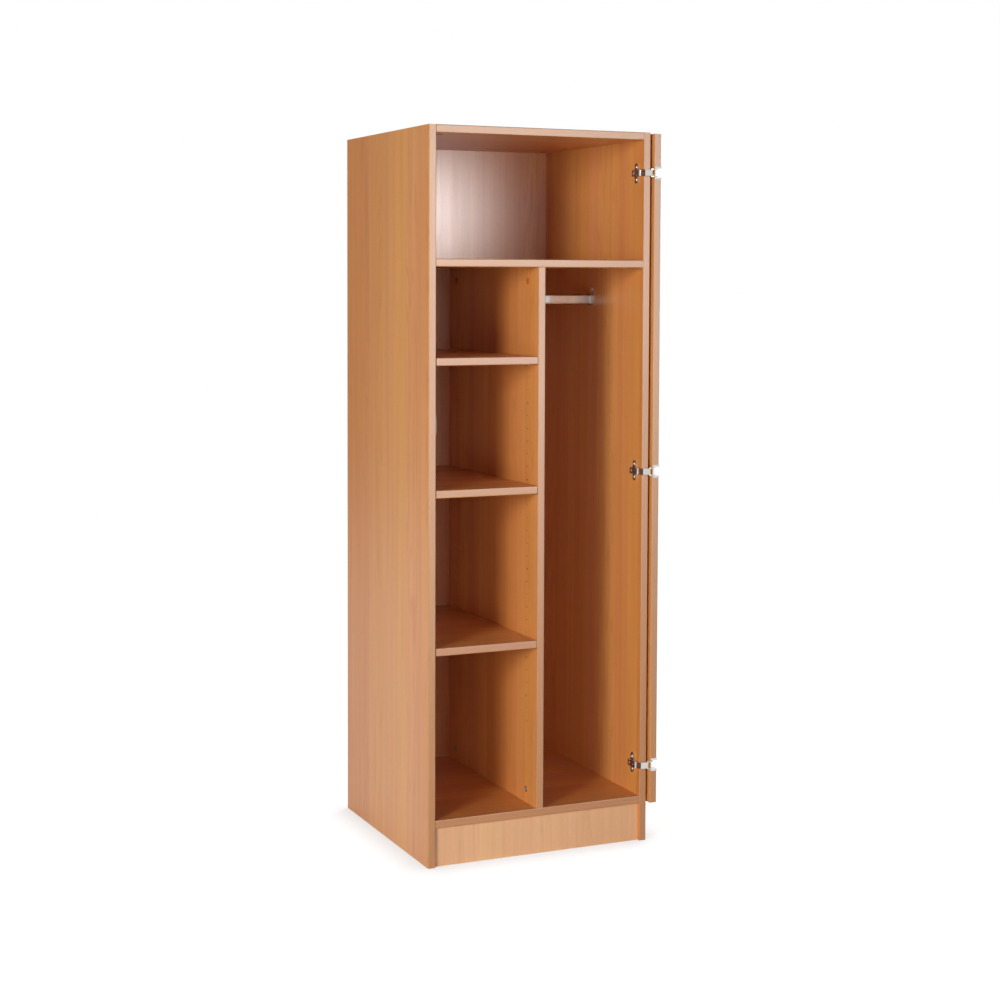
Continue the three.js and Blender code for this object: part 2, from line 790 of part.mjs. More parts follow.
function lockCase() {
  const half = lockCaseHeight / 2;
  const radii = [lockCaseRadius, lockCaseRadius, lockCaseRadius, lockCaseRadius];
  const outline = roundedOutline(caseStart, caseEnd, -lockHeight - half, half - lockHeight, radii);
  const body = extrude(outline, -lockCaseDepth, 0, alongY, 3);
  const outerEnd = boardThickness + lockBarrelProud;
  const barrel = rodAlongY(lockBarrelRadius, -lockCoreTail, outerEnd, lockAxis, lockHeight, 20);
  const bore = rodAlongY(lockCoreRadius + fitGap, -lockCoreTail - fitGap, outerEnd + overrun, lockAxis,
    lockHeight, 20);
  const channel = block(
    [caseEnd - boltLength - 2 * fitGap, -boltFromInside - boltThickness - fitGap,
      lockHeight - boltHeight / 2 - fitGap],
    [caseEnd + overrun, -boltFromInside + fitGap, lockHeight + boltHeight / 2 + fitGap],
  );
  return piece("lock_case", cut(body.add(barrel), [bore, channel]), nickel);
}

function lockCore() {
  const outerEnd = boardThickness + lockBarrelProud + lockCoreProud;
  const body = rodAlongY(lockCoreRadius, -lockCoreTail, outerEnd, lockAxis, lockHeight, 20);
  const keySlot = block(
    [lockAxis - keySlotWidth / 2, outerEnd - keySlotDepth, lockHeight - keySlotLength / 2],
    [lockAxis + keySlotWidth / 2, outerEnd + overrun, lockHeight + keySlotLength / 2],
  );
  return piece("lock_core", cut(body, [keySlot]), satinMetal);
}

// The dead bolt, drawn back flush with the case
function lockBolt() {
  const end = caseEnd - fitGap;
  const body = block(
    [end - boltLength, -boltFromInside - boltThickness, lockHeight - boltHeight / 2],
    [end, -boltFromInside, lockHeight + boltHeight / 2],
  );
  return piece("lock_bolt", body, zinc);
}

// The strike lies on the left side's inner face, where the bolt meets it when the door is shut
function strikePlate() {
  const half = strikeHeight / 2;
  const y0 = strikeFromFront;
  const radii = [edgeRadius, edgeRadius, edgeRadius, edgeRadius];
  const outline = roundedOutline(y0, y0 + strikeWidth, lockHeight - half, lockHeight + half, radii);
  const plate = extrude(outline, boardThickness, boardThickness + strikeThickness, alongX, 3);
  return piece("strike_plate", cut(plate, [boltOpening(0, boardThickness + overrun)]), zinc);
}

// Assembly

function hingeOnCabinet(name, height) {
  const group = new THREE.Group();
  group.position.z = height;
  group.add(mountingPlate(`hinge_${name}_plate`));
  group.add(plateScrew(`hinge_${name}_screw_upper`, 1));
  group.add(plateScrew(`hinge_${name}_screw_lower`, -1));
  group.add(hingeArm(`hinge_${name}_arm`));
  group.add(knucklePin(`hinge_${name}_knuckle_pin`));
  group.add(hingeLink(`hinge_${name}_link`));
  return group;
}

function hingeOnDoor(name, height) {
  const group = new THREE.Group();
  group.position.z = height;
  group.add(hingeCup(`hinge_${name}_cup`));
  group.add(cupPin(`hinge_${name}_cup_pin`));
  return group;
}

function cabinet() {
  const group = new THREE.Group();
  group.add(leftSidePanel(), rightSidePanel(), topPanel(), bottomPanel(), hatShelf(), partition());
  group.add(backPanel(), plinthBoard(), strikePlate(), clothesRail());
  group.add(railSupport("rail_support_left", partitionRight, 1));
  group.add(railSupport("rail_support_right", innerRight, -1));
  for (const [name, share] of Object.entries(shelfPlaceShares)) {
    const index = shelfIndex(share);
    group.add(adjustableShelf(name, index), ...shelfPins(name, index));
  }
  for (const [row, y] of [["front", pinRows[0]], ["rear", pinRows[1]]]) {
    group.add(connectorCap(`connector_cap_${row}`, y, camHeights.top));
    group.add(connectorCam(`connector_cam_${row}`, y, camHeights.bottom));
  }
  for (const [name, height] of Object.entries(hingeHeights)) group.add(hingeOnCabinet(name, height));
  return group;
}

function foldedDoor() {
  const group = new THREE.Group();
  group.position.set(doorInsideX, -foldedForward, 0);
  group.rotation.z = Math.PI / 2;
  group.add(door(), doorHandle(), lockCase(), lockCore(), lockBolt());
  for (const [name, height] of Object.entries(hingeHeights)) group.add(hingeOnDoor(name, height));
  return group;
}

// The origin is on the floor, under the middle of everything with the door folded back
const farRight = doorInsideX + lockCaseDepth;
const farFront = linkRunY - linkWidth / 2;
const farBack = doorWidth - foldedForward;

const wardrobe = new THREE.Group();
wardrobe.position.set(-farRight / 2, -(farFront + farBack) / 2, 0);
wardrobe.add(cabinet(), foldedDoor());

export default wardrobe;
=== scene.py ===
# %% [markdown]
# # A single-door wardrobe
#
# The wardrobe is a cupboard of melamine-faced chipboard with a beech decor. Its door is folded back
# flat along the right side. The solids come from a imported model, in metres, and they say where
# everything is. Here each board gets its decor, its edging and its raw chipboard, and each fitting
# is made again with round pins, softened edges and the small screws that hold it.

# %% Load the solids
import json
import math

import bmesh
import bpy
from mathutils import Euler, Matrix, Vector


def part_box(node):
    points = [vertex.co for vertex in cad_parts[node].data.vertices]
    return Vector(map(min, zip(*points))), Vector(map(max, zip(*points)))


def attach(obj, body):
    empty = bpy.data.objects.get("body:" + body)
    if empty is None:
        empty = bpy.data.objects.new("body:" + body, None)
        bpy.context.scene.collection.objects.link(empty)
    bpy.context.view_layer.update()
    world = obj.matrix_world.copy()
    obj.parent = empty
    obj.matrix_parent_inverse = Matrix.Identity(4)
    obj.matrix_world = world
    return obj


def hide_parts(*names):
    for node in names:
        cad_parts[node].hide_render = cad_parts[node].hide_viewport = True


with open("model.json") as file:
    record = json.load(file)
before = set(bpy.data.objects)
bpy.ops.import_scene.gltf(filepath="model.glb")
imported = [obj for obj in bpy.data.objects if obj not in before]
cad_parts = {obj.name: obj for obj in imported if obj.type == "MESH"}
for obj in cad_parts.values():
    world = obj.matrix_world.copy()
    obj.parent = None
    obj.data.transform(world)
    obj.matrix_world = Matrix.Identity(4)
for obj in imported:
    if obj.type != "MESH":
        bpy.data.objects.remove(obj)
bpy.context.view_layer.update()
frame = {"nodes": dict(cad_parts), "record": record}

scene = bpy.context.scene
scene.view_settings.view_transform = "Standard"

# %% [markdown]
# ## Units and colours
#
# Blender works in metres and in linear light. Furniture is drawn in millimetres, and colours are
# read off as sRGB hex values, so two tiny helpers turn one into the other. All colours go through
# the same one.

# %% Units and colours
MM = 0.001


def linear(hex_colour):
    """An sRGB hex colour as the linear RGBA that a shader socket takes."""
    channels = [int(hex_colour[i:i + 2], 16) / 255 for i in (1, 3, 5)]
    return (*[c / 12.92 if c <= 0.04045 else ((c + 0.055) / 1.055) ** 2.4 for c in channels], 1.0)


print("one millimetre:", MM, "beech in linear light:", [round(c, 3) for c in linear("#cf9a68")])

# %% [markdown]
# ## Camera
#
# The picture is taken from the front left, a little below the top of the wardrobe, with a short
# telephoto lens held almost level. The frame is shifted down instead of tilting the camera, which
# keeps the uprights parallel. The place, turn, tilt and roll below were solved from the edges of
# the carcass.

# %% Camera
CAMERA_PLACE = Vector((-2.0079, -4.45735, 1.4286))
CAMERA_TURN = math.radians(24.216)
CAMERA_TILT = math.radians(-3.050)
CAMERA_ROLL = math.radians(0.193)
CAMERA_LENS = 67.63
CAMERA_SHIFT = -0.1196

camera = bpy.data.objects.new("camera", bpy.data.cameras.new("camera"))
scene.collection.objects.link(camera)
camera.data.lens = CAMERA_LENS
camera.data.shift_y = CAMERA_SHIFT
aim = Euler((math.pi / 2 + CAMERA_TILT, 0, -CAMERA_TURN)).to_matrix().to_4x4()
camera.matrix_world = Matrix.Translation(CAMERA_PLACE) @ aim @ Matrix.Rotation(CAMERA_ROLL, 4, "Z")
scene.camera = camera
print("camera:", [round(x, 3) for x in camera.location], "lens:", CAMERA_LENS, "mm")

# %% [markdown]
# ## One function for nodes
#
# A procedural material is a small net of nodes. This one function adds a node, sets its properties,
# and fills each input either with a value or with a link from another node's output.

# %% One function for nodes
def add_node(tree, kind, inputs=None, **settings):
    """Adds a shader node. An input takes a value, or a link where it is given an output socket."""
    node = tree.nodes.new("ShaderNode" + kind)
    for name, value in settings.items():
        setattr(node, name, value)
    for name, value in (inputs or {}).items():
        if isinstance(value, bpy.types.NodeSocket):
            tree.links.new(value, node.inputs[name])
        else:
            node.inputs[name].default_value = value
    return node


def new_material(name):
    """An empty material, its node tree and its output node."""
    material = bpy.data.materials.new(name)
    material.use_nodes = True
    tree = material.node_tree
    tree.nodes.clear()
    return material, tree, add_node(tree, "OutputMaterial")


# Where a Mix node keeps its colour sockets
MIX_A, MIX_B, MIX_RESULT = 6, 7, 2
print("colour sockets of a Mix node:", MIX_A, MIX_B, MIX_RESULT)

# %% [markdown]
# ## Studio
#
# A furniture studio lights such a piece with softboxes. The key stands far to the left, so it
# lights the side and reaches into the open carcass past the left edge. A weak low one opens the
# shadows at the foot, and one at the rear right does the same for anyone who walks round. The last
# stands to the right of the camera and gives nothing but shine: it makes the front edges pale at
# the top and gives the back of the upper compartment its sheen. It is linked to the satin boards
# alone, as bare metal would burn out in it.

# %% Softboxes
# Places are metres from the wardrobe's middle on the floor. Radiance is how bright the front is
KEY_PLACE, KEY_AIM = Vector((-4.5, -3.4, 1.9)), Vector((0.0, 0.0, 0.9))
KEY_SIZE, KEY_RADIANCE = (1.3, 1.8), 27.5
FILL_PLACE, FILL_AIM = Vector((-2.2, -3.0, 0.4)), Vector((0.2, -0.2, 0.1))
FILL_SIZE, FILL_RADIANCE, FILL_SPREAD = (1.2, 0.6), 2.2, 90
SHEEN_PLACE, SHEEN_AIM = Vector((0.74, -3.0, 1.68)), Vector((0.1, 0.0, 1.3))
SHEEN_SIZE, SHEEN_RADIANCE = (1.85, 1.8), 29.5
REAR_PLACE, REAR_AIM = Vector((4.0, 3.4, 1.7)), Vector((0.0, 0.0, 0.9))
REAR_SIZE, REAR_RADIANCE = (2.0, 2.0), 14.0


def softbox(name, place, target, size, radiance, spread=180, only_shine=False):
    """A rectangular lamp. Its power follows from its area and from the brightness of its front."""
    lamp = bpy.data.lights.new(name, "AREA")
    lamp.shape = "RECTANGLE"
    lamp.size, lamp.size_y = size
    lamp.energy = math.pi * size[0] * size[1] * radiance
    lamp.spread = math.radians(spread)
    holder = bpy.data.objects.new(name, lamp)
    scene.collection.objects.link(holder)
    holder.location = place
    holder.rotation_euler = (target - place).to_track_quat("-Z", "Y").to_euler()
    holder.visible_diffuse = not only_shine
    print(name, "power:", round(lamp.energy), "W")
    return holder


softbox("key_softbox", KEY_PLACE, KEY_AIM, KEY_SIZE, KEY_RADIANCE)
softbox("low_softbox", FILL_PLACE, FILL_AIM, FILL_SIZE, FILL_RADIANCE, FILL_SPREAD)
softbox("rear_softbox", REAR_PLACE, REAR_AIM, REAR_SIZE, REAR_RADIANCE)
sheen = softbox("sheen_softbox", SHEEN_PLACE, SHEEN_AIM, SHEEN_SIZE, SHEEN_RADIANCE,
                only_shine=True)
satin_pieces = bpy.data.collections.new("satin_pieces")
sheen.light_linking.receiver_collection = satin_pieces

# %% [markdown]
# The room's air is dim for diffuse light, so that the depths of the carcass stay dark. The camera
# and everything shiny see it as white. Behind the key it falls off to the grey of an unlit studio
# wall, and the long side and the hinge arms reflect that, so their colour stays full.

# %% World
WORLD_DIFFUSE = 0.085
UNLIT_WALL = Vector((-0.72, 0.69, 0.0))
UNLIT_WALL_GREY = 0.3
WALL_BEGINS, WALL_FULL = 0.35, 0.8

world = bpy.data.worlds.new("studio_air")
scene.world = world
world.use_nodes = True
tree = world.node_tree
tree.nodes.clear()
path = add_node(tree, "LightPath").outputs
looking = add_node(tree, "TexCoord").outputs["Generated"]
to_wall = add_node(tree, "VectorMath", {0: looking, 1: UNLIT_WALL}, operation="DOT_PRODUCT")
falloff = add_node(tree, "MapRange", {"Value": to_wall.outputs["Value"], "From Min": WALL_BEGINS,
                                     "From Max": WALL_FULL, "To Min": 1.0,
                                     "To Max": UNLIT_WALL_GREY}, interpolation_type="SMOOTHSTEP")
shiny = add_node(tree, "Math", {0: path["Is Glossy Ray"], 1: falloff.outputs[0]},
                 operation="MULTIPLY")
plain = add_node(tree, "Math", {0: path["Is Camera Ray"], 1: path["Is Transmission Ray"]},
                 operation="MAXIMUM")
seen = add_node(tree, "Math", {0: shiny.outputs[0], 1: plain.outputs[0]}, operation="MAXIMUM")
strength = add_node(tree, "Math", {0: seen.outputs[0], 1: WORLD_DIFFUSE}, operation="MAXIMUM")
air = add_node(tree, "Background", {"Color": (1, 1, 1, 1), "Strength": strength.outputs[0]})
add_node(tree, "OutputWorld", {"Surface": air.outputs[0]})
print("world strength for diffuse light:", WORLD_DIFFUSE)

# %% [markdown]
# ## Floor
#
# The floor is a sheet of white paper. Near the wardrobe it shows the soft shadow that the boards
# throw on it, and a painted contact shadow: its glow is dimmed by ambient occlusion close to the
# boards. Further out it turns to plain white, so that no edge of it is ever seen.

# %% Floor
FLOOR_REACH = 6.0
CONTACT_REACH, CONTACT_DEEPEST = 0.085, 0.4
CONTACT_GREY, OPEN_GLOW, FLOOR_WHITE = 0.6, 0.9, 1.05
PAPER_IN_SHADOW, PAPER_MATT = "#959595", "#f0f0ee"
FOOTPRINT = Vector((0.32, 0.29, 0.0))
SHADOW_NEAR, SHADOW_FAR = 0.03, 0.24

paper, tree, output = new_material("white_paper")
mirrored = add_node(tree, "VectorMath", {0: add_node(tree, "TexCoord").outputs["Object"]},
                    operation="ABSOLUTE")
outside = add_node(tree, "VectorMath", {0: mirrored.outputs[0], 1: FOOTPRINT}, operation="SUBTRACT")
outside = add_node(tree, "VectorMath", {0: outside.outputs[0], 1: (0, 0, 0)}, operation="MAXIMUM")
distance = add_node(tree, "VectorMath", {0: outside.outputs[0]}, operation="LENGTH")
fade = add_node(tree, "MapRange", {"Value": distance.outputs["Value"], "From Min": SHADOW_NEAR,
                                  "From Max": SHADOW_FAR}, interpolation_type="SMOOTHSTEP")
# Painted contact shadow: close to the boards the paper's glow is dimmed by ambient occlusion
contact = add_node(tree, "AmbientOcclusion", {"Distance": CONTACT_REACH})
glow = add_node(tree, "MapRange", {"Value": contact.outputs["AO"], "From Min": CONTACT_DEEPEST,
                                  "To Min": CONTACT_GREY, "To Max": OPEN_GLOW})
soft = add_node(tree, "Emission", {"Color": (1, 1, 1, 1), "Strength": glow.outputs[0]})
dim = add_node(tree, "BsdfDiffuse", {"Color": linear(PAPER_IN_SHADOW)})
lifted = add_node(tree, "AddShader", {0: dim.outputs[0], 1: soft.outputs[0]})
white = add_node(tree, "Emission", {"Color": (1, 1, 1, 1), "Strength": FLOOR_WHITE})
near_or_far = add_node(tree, "MixShader", {0: fade.outputs[0], 1: lifted.outputs[0],
                                          2: white.outputs[0]})
matt = add_node(tree, "BsdfDiffuse", {"Color": linear(PAPER_MATT)})
path = add_node(tree, "LightPath").outputs
seen = add_node(tree, "Math", {0: path["Is Camera Ray"], 1: path["Is Glossy Ray"]}, operation="ADD")
seen = add_node(tree, "Math", {0: seen.outputs[0], 1: path["Is Transmission Ray"]}, operation="ADD")
paper_look = add_node(tree, "MixShader", {0: seen.outputs[0], 1: matt.outputs[0],
                                         2: near_or_far.outputs[0]})
tree.links.new(paper_look.outputs[0], output.inputs["Surface"])

sheet = bmesh.new()
bmesh.ops.create_grid(sheet, x_segments=1, y_segments=1, size=FLOOR_REACH)
floor_mesh = bpy.data.meshes.new("floor")
sheet.to_mesh(floor_mesh)
sheet.free()
floor_mesh.materials.append(paper)
floor = bpy.data.objects.new("floor", floor_mesh)
scene.collection.objects.link(floor)
print("floor:", 2 * FLOOR_REACH, "m square")

# %% [markdown]
# ## Beech-decor melamine
#
# The boards are chipboard faced with paper that is printed as beech, soaked in melamine resin and
# pressed against a satin plate. So the colour is a print without depth and the gloss is even. The
# print imitates boards glued up from staves: each stave is a little pinker or yellower than its
# neighbour. Inside a stave run soft long streaks, finer broken lines, faint arches where the cut
# meets the growth rings, and short dark flecks. Every scale below is a real size on the board,
# across and along the grain. The flecks are drawn a little coarser than the real ones so that they
# show at all.

# %% Sizes in the print
STAVE_WIDTH, STAVE_UNEVENNESS = 58 * MM, 0.8
STAVE_SLIDE = 5.0
PINK_FROM = 0.45
PRINT_LAYERS = (
    # across, along, noise detail, where it starts and is full, how far it goes towards dark
    ("streak", 13 * MM, 1500 * MM, 2.0, 0.42, 0.80, 0.36),
    ("line", 4.0 * MM, 240 * MM, 1.0, 0.55, 0.82, 0.30),
    ("shade", 38 * MM, 700 * MM, 1.0, 0.35, 0.80, 0.30),
    ("fleck", 1.4 * MM, 11 * MM, 0.0, 0.68, 0.80, 0.50),
)
ARCH_WIDTH, ARCH_LENGTH, ARCH_RINGS = 26 * MM, 340 * MM, 9.0
ARCHED_FROM, ARCHED_FULL, ARCH_DEPTH, ARCH_LINE = 0.62, 0.75, 0.38, 0.4
FIBRE_WIDTH, FIBRE_LENGTH, FIBRE_DEPTH = 0.7 * MM, 26 * MM, 0.05 * MM
FIBRE_DETAIL, FIBRE_STRENGTH = 2.0, 0.1
GLOSS_SPREAD, RESIN_IOR = 0.03, 1.6
print("layers of the print:", [layer[0] for layer in PRINT_LAYERS])


# %% Beech print
def printed_beech(name, along, tones, roughness, shine, figure):
    """Melamine or edging printed as beech, its grain along X or Z and its figure this strong."""
    orange, yellow, pink, dark = tones
    material, tree, output = new_material(name)
    place = add_node(tree, "SeparateXYZ",
                     {0: add_node(tree, "TexCoord").outputs["Object"]}).outputs
    first, second = [axis for axis in "XYZ" if axis != along]
    across = add_node(tree, "Math", {0: place[first], 1: place[second]}).outputs[0]
    stave = add_node(tree, "TexVoronoi", {"W": across, "Scale": 1 / STAVE_WIDTH,
                                         "Randomness": STAVE_UNEVENNESS}, voronoi_dimensions="1D")
    chance = add_node(tree, "SeparateColor", {0: stave.outputs["Color"]}).outputs
    # Each stave is cut from another board, so its figure starts somewhere else along the grain
    slid = add_node(tree, "Math", {0: chance[2], 1: STAVE_SLIDE, 2: place[along]},
                    operation="MULTIPLY_ADD")
    flat = add_node(tree, "CombineXYZ", {0: across, 1: slid.outputs[0], 2: chance[1]}).outputs[0]

    def pattern(width, length, detail):
        scaled = add_node(tree, "VectorMath", {0: flat, 1: (1 / width, 1 / length, 1.0)},
                          operation="MULTIPLY")
        return add_node(tree, "TexNoise", {"Vector": scaled.outputs[0], "Scale": 1.0,
                                          "Detail": detail}).outputs["Fac"]

    def darkened(colour, amount):
        mixed = add_node(tree, "Mix", {0: amount.outputs[0], MIX_A: colour, MIX_B: linear(dark)},
                         data_type="RGBA")
        return mixed.outputs[MIX_RESULT]

    warm = add_node(tree, "Mix", {0: chance[0], MIX_A: linear(orange), MIX_B: linear(yellow)},
                    data_type="RGBA")
    rosy = add_node(tree, "MapRange", {"Value": chance[1], "From Min": PINK_FROM, "From Max": 1.0})
    tint = add_node(tree, "Mix", {0: rosy.outputs[0], MIX_A: warm.outputs[MIX_RESULT],
                                 MIX_B: linear(pink)}, data_type="RGBA")
    colour = tint.outputs[MIX_RESULT]
    for label, width, length, detail, low, high, depth in PRINT_LAYERS:
        amount = add_node(tree, "MapRange", {"Value": pattern(width, length, detail),
                                            "From Min": low, "From Max": high,
                                            "To Max": depth * figure}, label=label)
        colour = darkened(colour, amount)
    # An arch is a contour line of a slow noise, folded into a few soft rings on some staves only
    slow = pattern(ARCH_WIDTH, ARCH_LENGTH, 0.0)
    rings = add_node(tree, "Math", {0: slow, 1: ARCH_RINGS}, operation="MULTIPLY")
    rings = add_node(tree, "Math", {0: rings.outputs[0], 1: 1.0}, operation="PINGPONG")
    arched = add_node(tree, "MapRange", {"Value": chance[2], "From Min": ARCHED_FROM,
                                        "From Max": ARCHED_FULL, "To Max": ARCH_DEPTH * figure})
    amount = add_node(tree, "MapRange", {"Value": rings.outputs[0], "From Max": ARCH_LINE,
                                        "To Min": arched.outputs[0], "To Max": 0.0})
    colour = darkened(colour, amount)
    gloss = add_node(tree, "MapRange", {"Value": slow, "To Min": roughness - GLOSS_SPREAD,
                                       "To Max": roughness + GLOSS_SPREAD})
    fibres = pattern(FIBRE_WIDTH, FIBRE_LENGTH, FIBRE_DETAIL)
    bump = add_node(tree, "Bump", {"Height": fibres, "Strength": FIBRE_STRENGTH,
                                  "Distance": FIBRE_DEPTH})
    skin = add_node(tree, "BsdfPrincipled", {"Base Color": colour, "Roughness": gloss.outputs[0],
                                            "IOR": RESIN_IOR, "Specular IOR Level": shine,
                                            "Normal": bump.outputs[0]})
    tree.links.new(skin.outputs[0], output.inputs["Surface"])
    return material


# Satin melamine: a soft, even sheen under which the print keeps its full colour
MELAMINE_TONES = ("#d38642", "#e19f53", "#e09c66", "#ba6e38")
MELAMINE_FINISH = {"roughness": 0.38, "shine": 0.42, "figure": 0.8}
melamine = {axis: printed_beech(f"beech_melamine_{axis}", axis, MELAMINE_TONES, **MELAMINE_FINISH)
            for axis in "XZ"}
print("melamine:", [m.name for m in melamine.values()])

# %% [markdown]
# The plinth board gets a paler copy of the same print. Its paleness is painted light: a lit copy
# of the melamine that makes the low front face brighter.

# %% Plinth print
# Painted light: the paler tones brighten the plinth's front face as light would
PLINTH_TONES_PAINTED_LIGHTER = ("#edb582", "#f2be89", "#f2b98e", "#da9d68")
melamine["plinth"] = printed_beech("beech_melamine_painted_lighter", "Z", PLINTH_TONES_PAINTED_LIGHTER, **MELAMINE_FINISH)
print("plinth:", melamine["plinth"].name)

# %% [markdown]
# ## Edging and raw chipboard
#
# The front edges are closed with a two millimetre strip of ABS, printed to match but a shade redder
# and a little duller. Where nobody looks the chipboard stays raw: in holes, at the feet and at the
# rear edges. It is pressed from wood chips of one to three millimetres, so each cell of the pattern
# is one chip.

# %% Edging and raw chipboard
# ABS edging: duller than the faces, so it stays an even band where they shine
EDGING_TONES = ("#c6854e", "#c98c54", "#c8885e", "#b07140")
EDGING_FINISH = {"roughness": 0.52, "shine": 0.32, "figure": 0.6}
edging = {axis: printed_beech(f"beech_abs_edging_{axis}", axis, EDGING_TONES, **EDGING_FINISH)
          for axis in "XZ"}

# Raw chipboard: speckled and almost without shine, as cut chips are
CHIP_SIZE, CHIP_TONES = 2.2 * MM, ("#8d6940", "#c8a273")
CHIP_ROUGHNESS, CHIP_RELIEF, CHIP_STRENGTH = 0.85, 0.3 * MM, 0.5

chipboard, tree, output = new_material("raw_chipboard")
place = add_node(tree, "TexCoord").outputs["Object"]
chips = add_node(tree, "TexVoronoi", {"Vector": place, "Scale": 1 / CHIP_SIZE, "Randomness": 1.0})
tone = add_node(tree, "SeparateColor", {0: chips.outputs["Color"]})
chip_colour = add_node(tree, "Mix", {0: tone.outputs[0], MIX_A: linear(CHIP_TONES[0]),
                                    MIX_B: linear(CHIP_TONES[1])}, data_type="RGBA")
rough = add_node(tree, "Bump", {"Height": chips.outputs["Distance"], "Strength": CHIP_STRENGTH,
                               "Distance": CHIP_RELIEF})
skin = add_node(tree, "BsdfPrincipled", {"Base Color": chip_colour.outputs[MIX_RESULT],
                                        "Roughness": CHIP_ROUGHNESS, "Normal": rough.outputs[0]})
tree.links.new(skin.outputs[0], output.inputs["Surface"])
print("edging:", [m.name for m in edging.values()], "core:", chipboard.name)

# %% [markdown]
# ## Metals and plastic
#
# The hinges are zinc castings and steel pressings with a bright nickel plating, the rail is
# polished chrome on steel tube, and the small pins are turned steel or brass. Plating is never a
# perfect mirror. A faint unevenness in its roughness, at the scale of the casting's skin, breaks
# the reflections up.

# %% Metals
UNEVEN_DETAIL, UNEVEN_LOW, UNEVEN_HIGH, RELIEF_STRENGTH = 3, 0.3, 0.7, 0.3


def plated_metal(name, tones, roughness, spread, skin_size, depth):
    """A metal finish: its tones, its roughness and spread, the size and depth of its unevenness."""
    material, tree, output = new_material(name)
    place = add_node(tree, "TexCoord").outputs["Object"]
    uneven = add_node(tree, "TexNoise", {"Vector": place, "Scale": 1 / skin_size,
                                        "Detail": UNEVEN_DETAIL})
    gloss = add_node(tree, "MapRange", {"Value": uneven.outputs["Fac"], "From Min": UNEVEN_LOW,
                                       "From Max": UNEVEN_HIGH, "To Min": roughness,
                                       "To Max": roughness + spread})
    shade = add_node(tree, "Mix", {0: uneven.outputs["Fac"], MIX_A: linear(tones[0]),
                                  MIX_B: linear(tones[1])}, data_type="RGBA")
    relief = add_node(tree, "Bump", {"Height": uneven.outputs["Fac"], "Strength": RELIEF_STRENGTH,
                                    "Distance": depth})
    skin = add_node(tree, "BsdfPrincipled", {"Base Color": shade.outputs[MIX_RESULT],
                                            "Metallic": 1.0, "Roughness": gloss.outputs[0],
                                            "Normal": relief.outputs[0]})
    tree.links.new(skin.outputs[0], output.inputs["Surface"])
    return material


# Bright, with soft-edged reflections broken up by the skin of the casting
nickel_casting = plated_metal("nickel_plated_zinc_casting", ("#c9c7c2", "#d8d6d1"), 0.22, 0.05,
                              1.5 * MM, 0.03 * MM)
# Brighter and cleaner, as a pressing from rolled sheet is
nickel_steel = plated_metal("nickel_plated_steel", ("#cfcdc8", "#dddbd6"), 0.16, 0.08,
                            3 * MM, 0.01 * MM)
# A darker grey that sets the plate off from the arm on it
dark_nickel = plated_metal("nickel_plated_mounting_plate", ("#aaa7a2", "#b6b3ae"), 0.24, 0.06,
                           1.5 * MM, 0.03 * MM)
# Nearly a mirror, which draws the room out in streaks along the tube
chrome_tube = plated_metal("polished_chrome", ("#c0c2c4", "#cbcdcf"), 0.07, 0.06,
                           6 * MM, 0.004 * MM)
# Warm yellow with the fine marks of the lathe
turned_brass = plated_metal("turned_brass", ("#b98f4e", "#cda565"), 0.26, 0.1,
                            0.8 * MM, 0.01 * MM)
# Cool grey and a little cloudy, as plain zinc is
zinc_steel = plated_metal("zinc_plated_steel", ("#a3a4a2", "#b8b9b6"), 0.34, 0.14,
                          1.2 * MM, 0.02 * MM)
# A warm grey glow without a mirror image, as a blasted surface gives
satin_nickel = plated_metal("satin_nickel", ("#b4b1ab", "#c2bfb9"), 0.34, 0.08,
                            0.6 * MM, 0.01 * MM)
print("metals:", [m.name for m in (nickel_casting, nickel_steel, dark_nickel, chrome_tube,
                                   turned_brass, zinc_steel, satin_nickel)])

# %% [markdown]
# The caps are moulded from ABS in the colour of the print. The mould is lightly grained to hide
# scratches, so a fine mottle and a shallow bump are enough, and the highlight stays broad and dull.

# %% Plastic
# Moulded ABS: a flat orange with a broad dull highlight from the grained mould
CAP_TONES, CAP_ROUGHNESS = ("#b85d16", "#c66d22"), 0.42
GRAIN_SIZE, GRAIN_DETAIL, GRAIN_STRENGTH, GRAIN_DEPTH = 0.9 * MM, 2, 0.2, 0.03 * MM

cap_plastic, tree, output = new_material("moulded_beech_coloured_abs")
place = add_node(tree, "TexCoord").outputs["Object"]
mottle = add_node(tree, "TexNoise", {"Vector": place, "Scale": 1 / GRAIN_SIZE,
                                    "Detail": GRAIN_DETAIL})
cap_colour = add_node(tree, "Mix", {0: mottle.outputs["Fac"], MIX_A: linear(CAP_TONES[0]),
                                   MIX_B: linear(CAP_TONES[1])}, data_type="RGBA")
grained = add_node(tree, "Bump", {"Height": mottle.outputs["Fac"], "Strength": GRAIN_STRENGTH,
                                 "Distance": GRAIN_DEPTH})
skin = add_node(tree, "BsdfPrincipled", {"Base Color": cap_colour.outputs[MIX_RESULT],
                                        "Roughness": CAP_ROUGHNESS,
                                        "Normal": grained.outputs[0]})
tree.links.new(skin.outputs[0], output.inputs["Surface"])
print("plastic:", cap_plastic.name)

# %% [markdown]
# ## Shaping helpers
#
# Furniture fittings are pressed, cast, sawn or turned, so two helpers cover nearly all of them. One
# carries a drawn outline along an axis, the other turns a profile round one, and a plain rod is its
# simplest case. A third cuts solids out of each other or joins them. They work in cabinet
# millimetres, from the carcass's front left foot, as on a workshop drawing.

# %% Outlines and solids
AXES = {"X": 0, "Y": 1, "Z": 2}
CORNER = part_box("left_side_panel")[0]
ON_POINT = 1e-6
ROUND_STEPS = 48


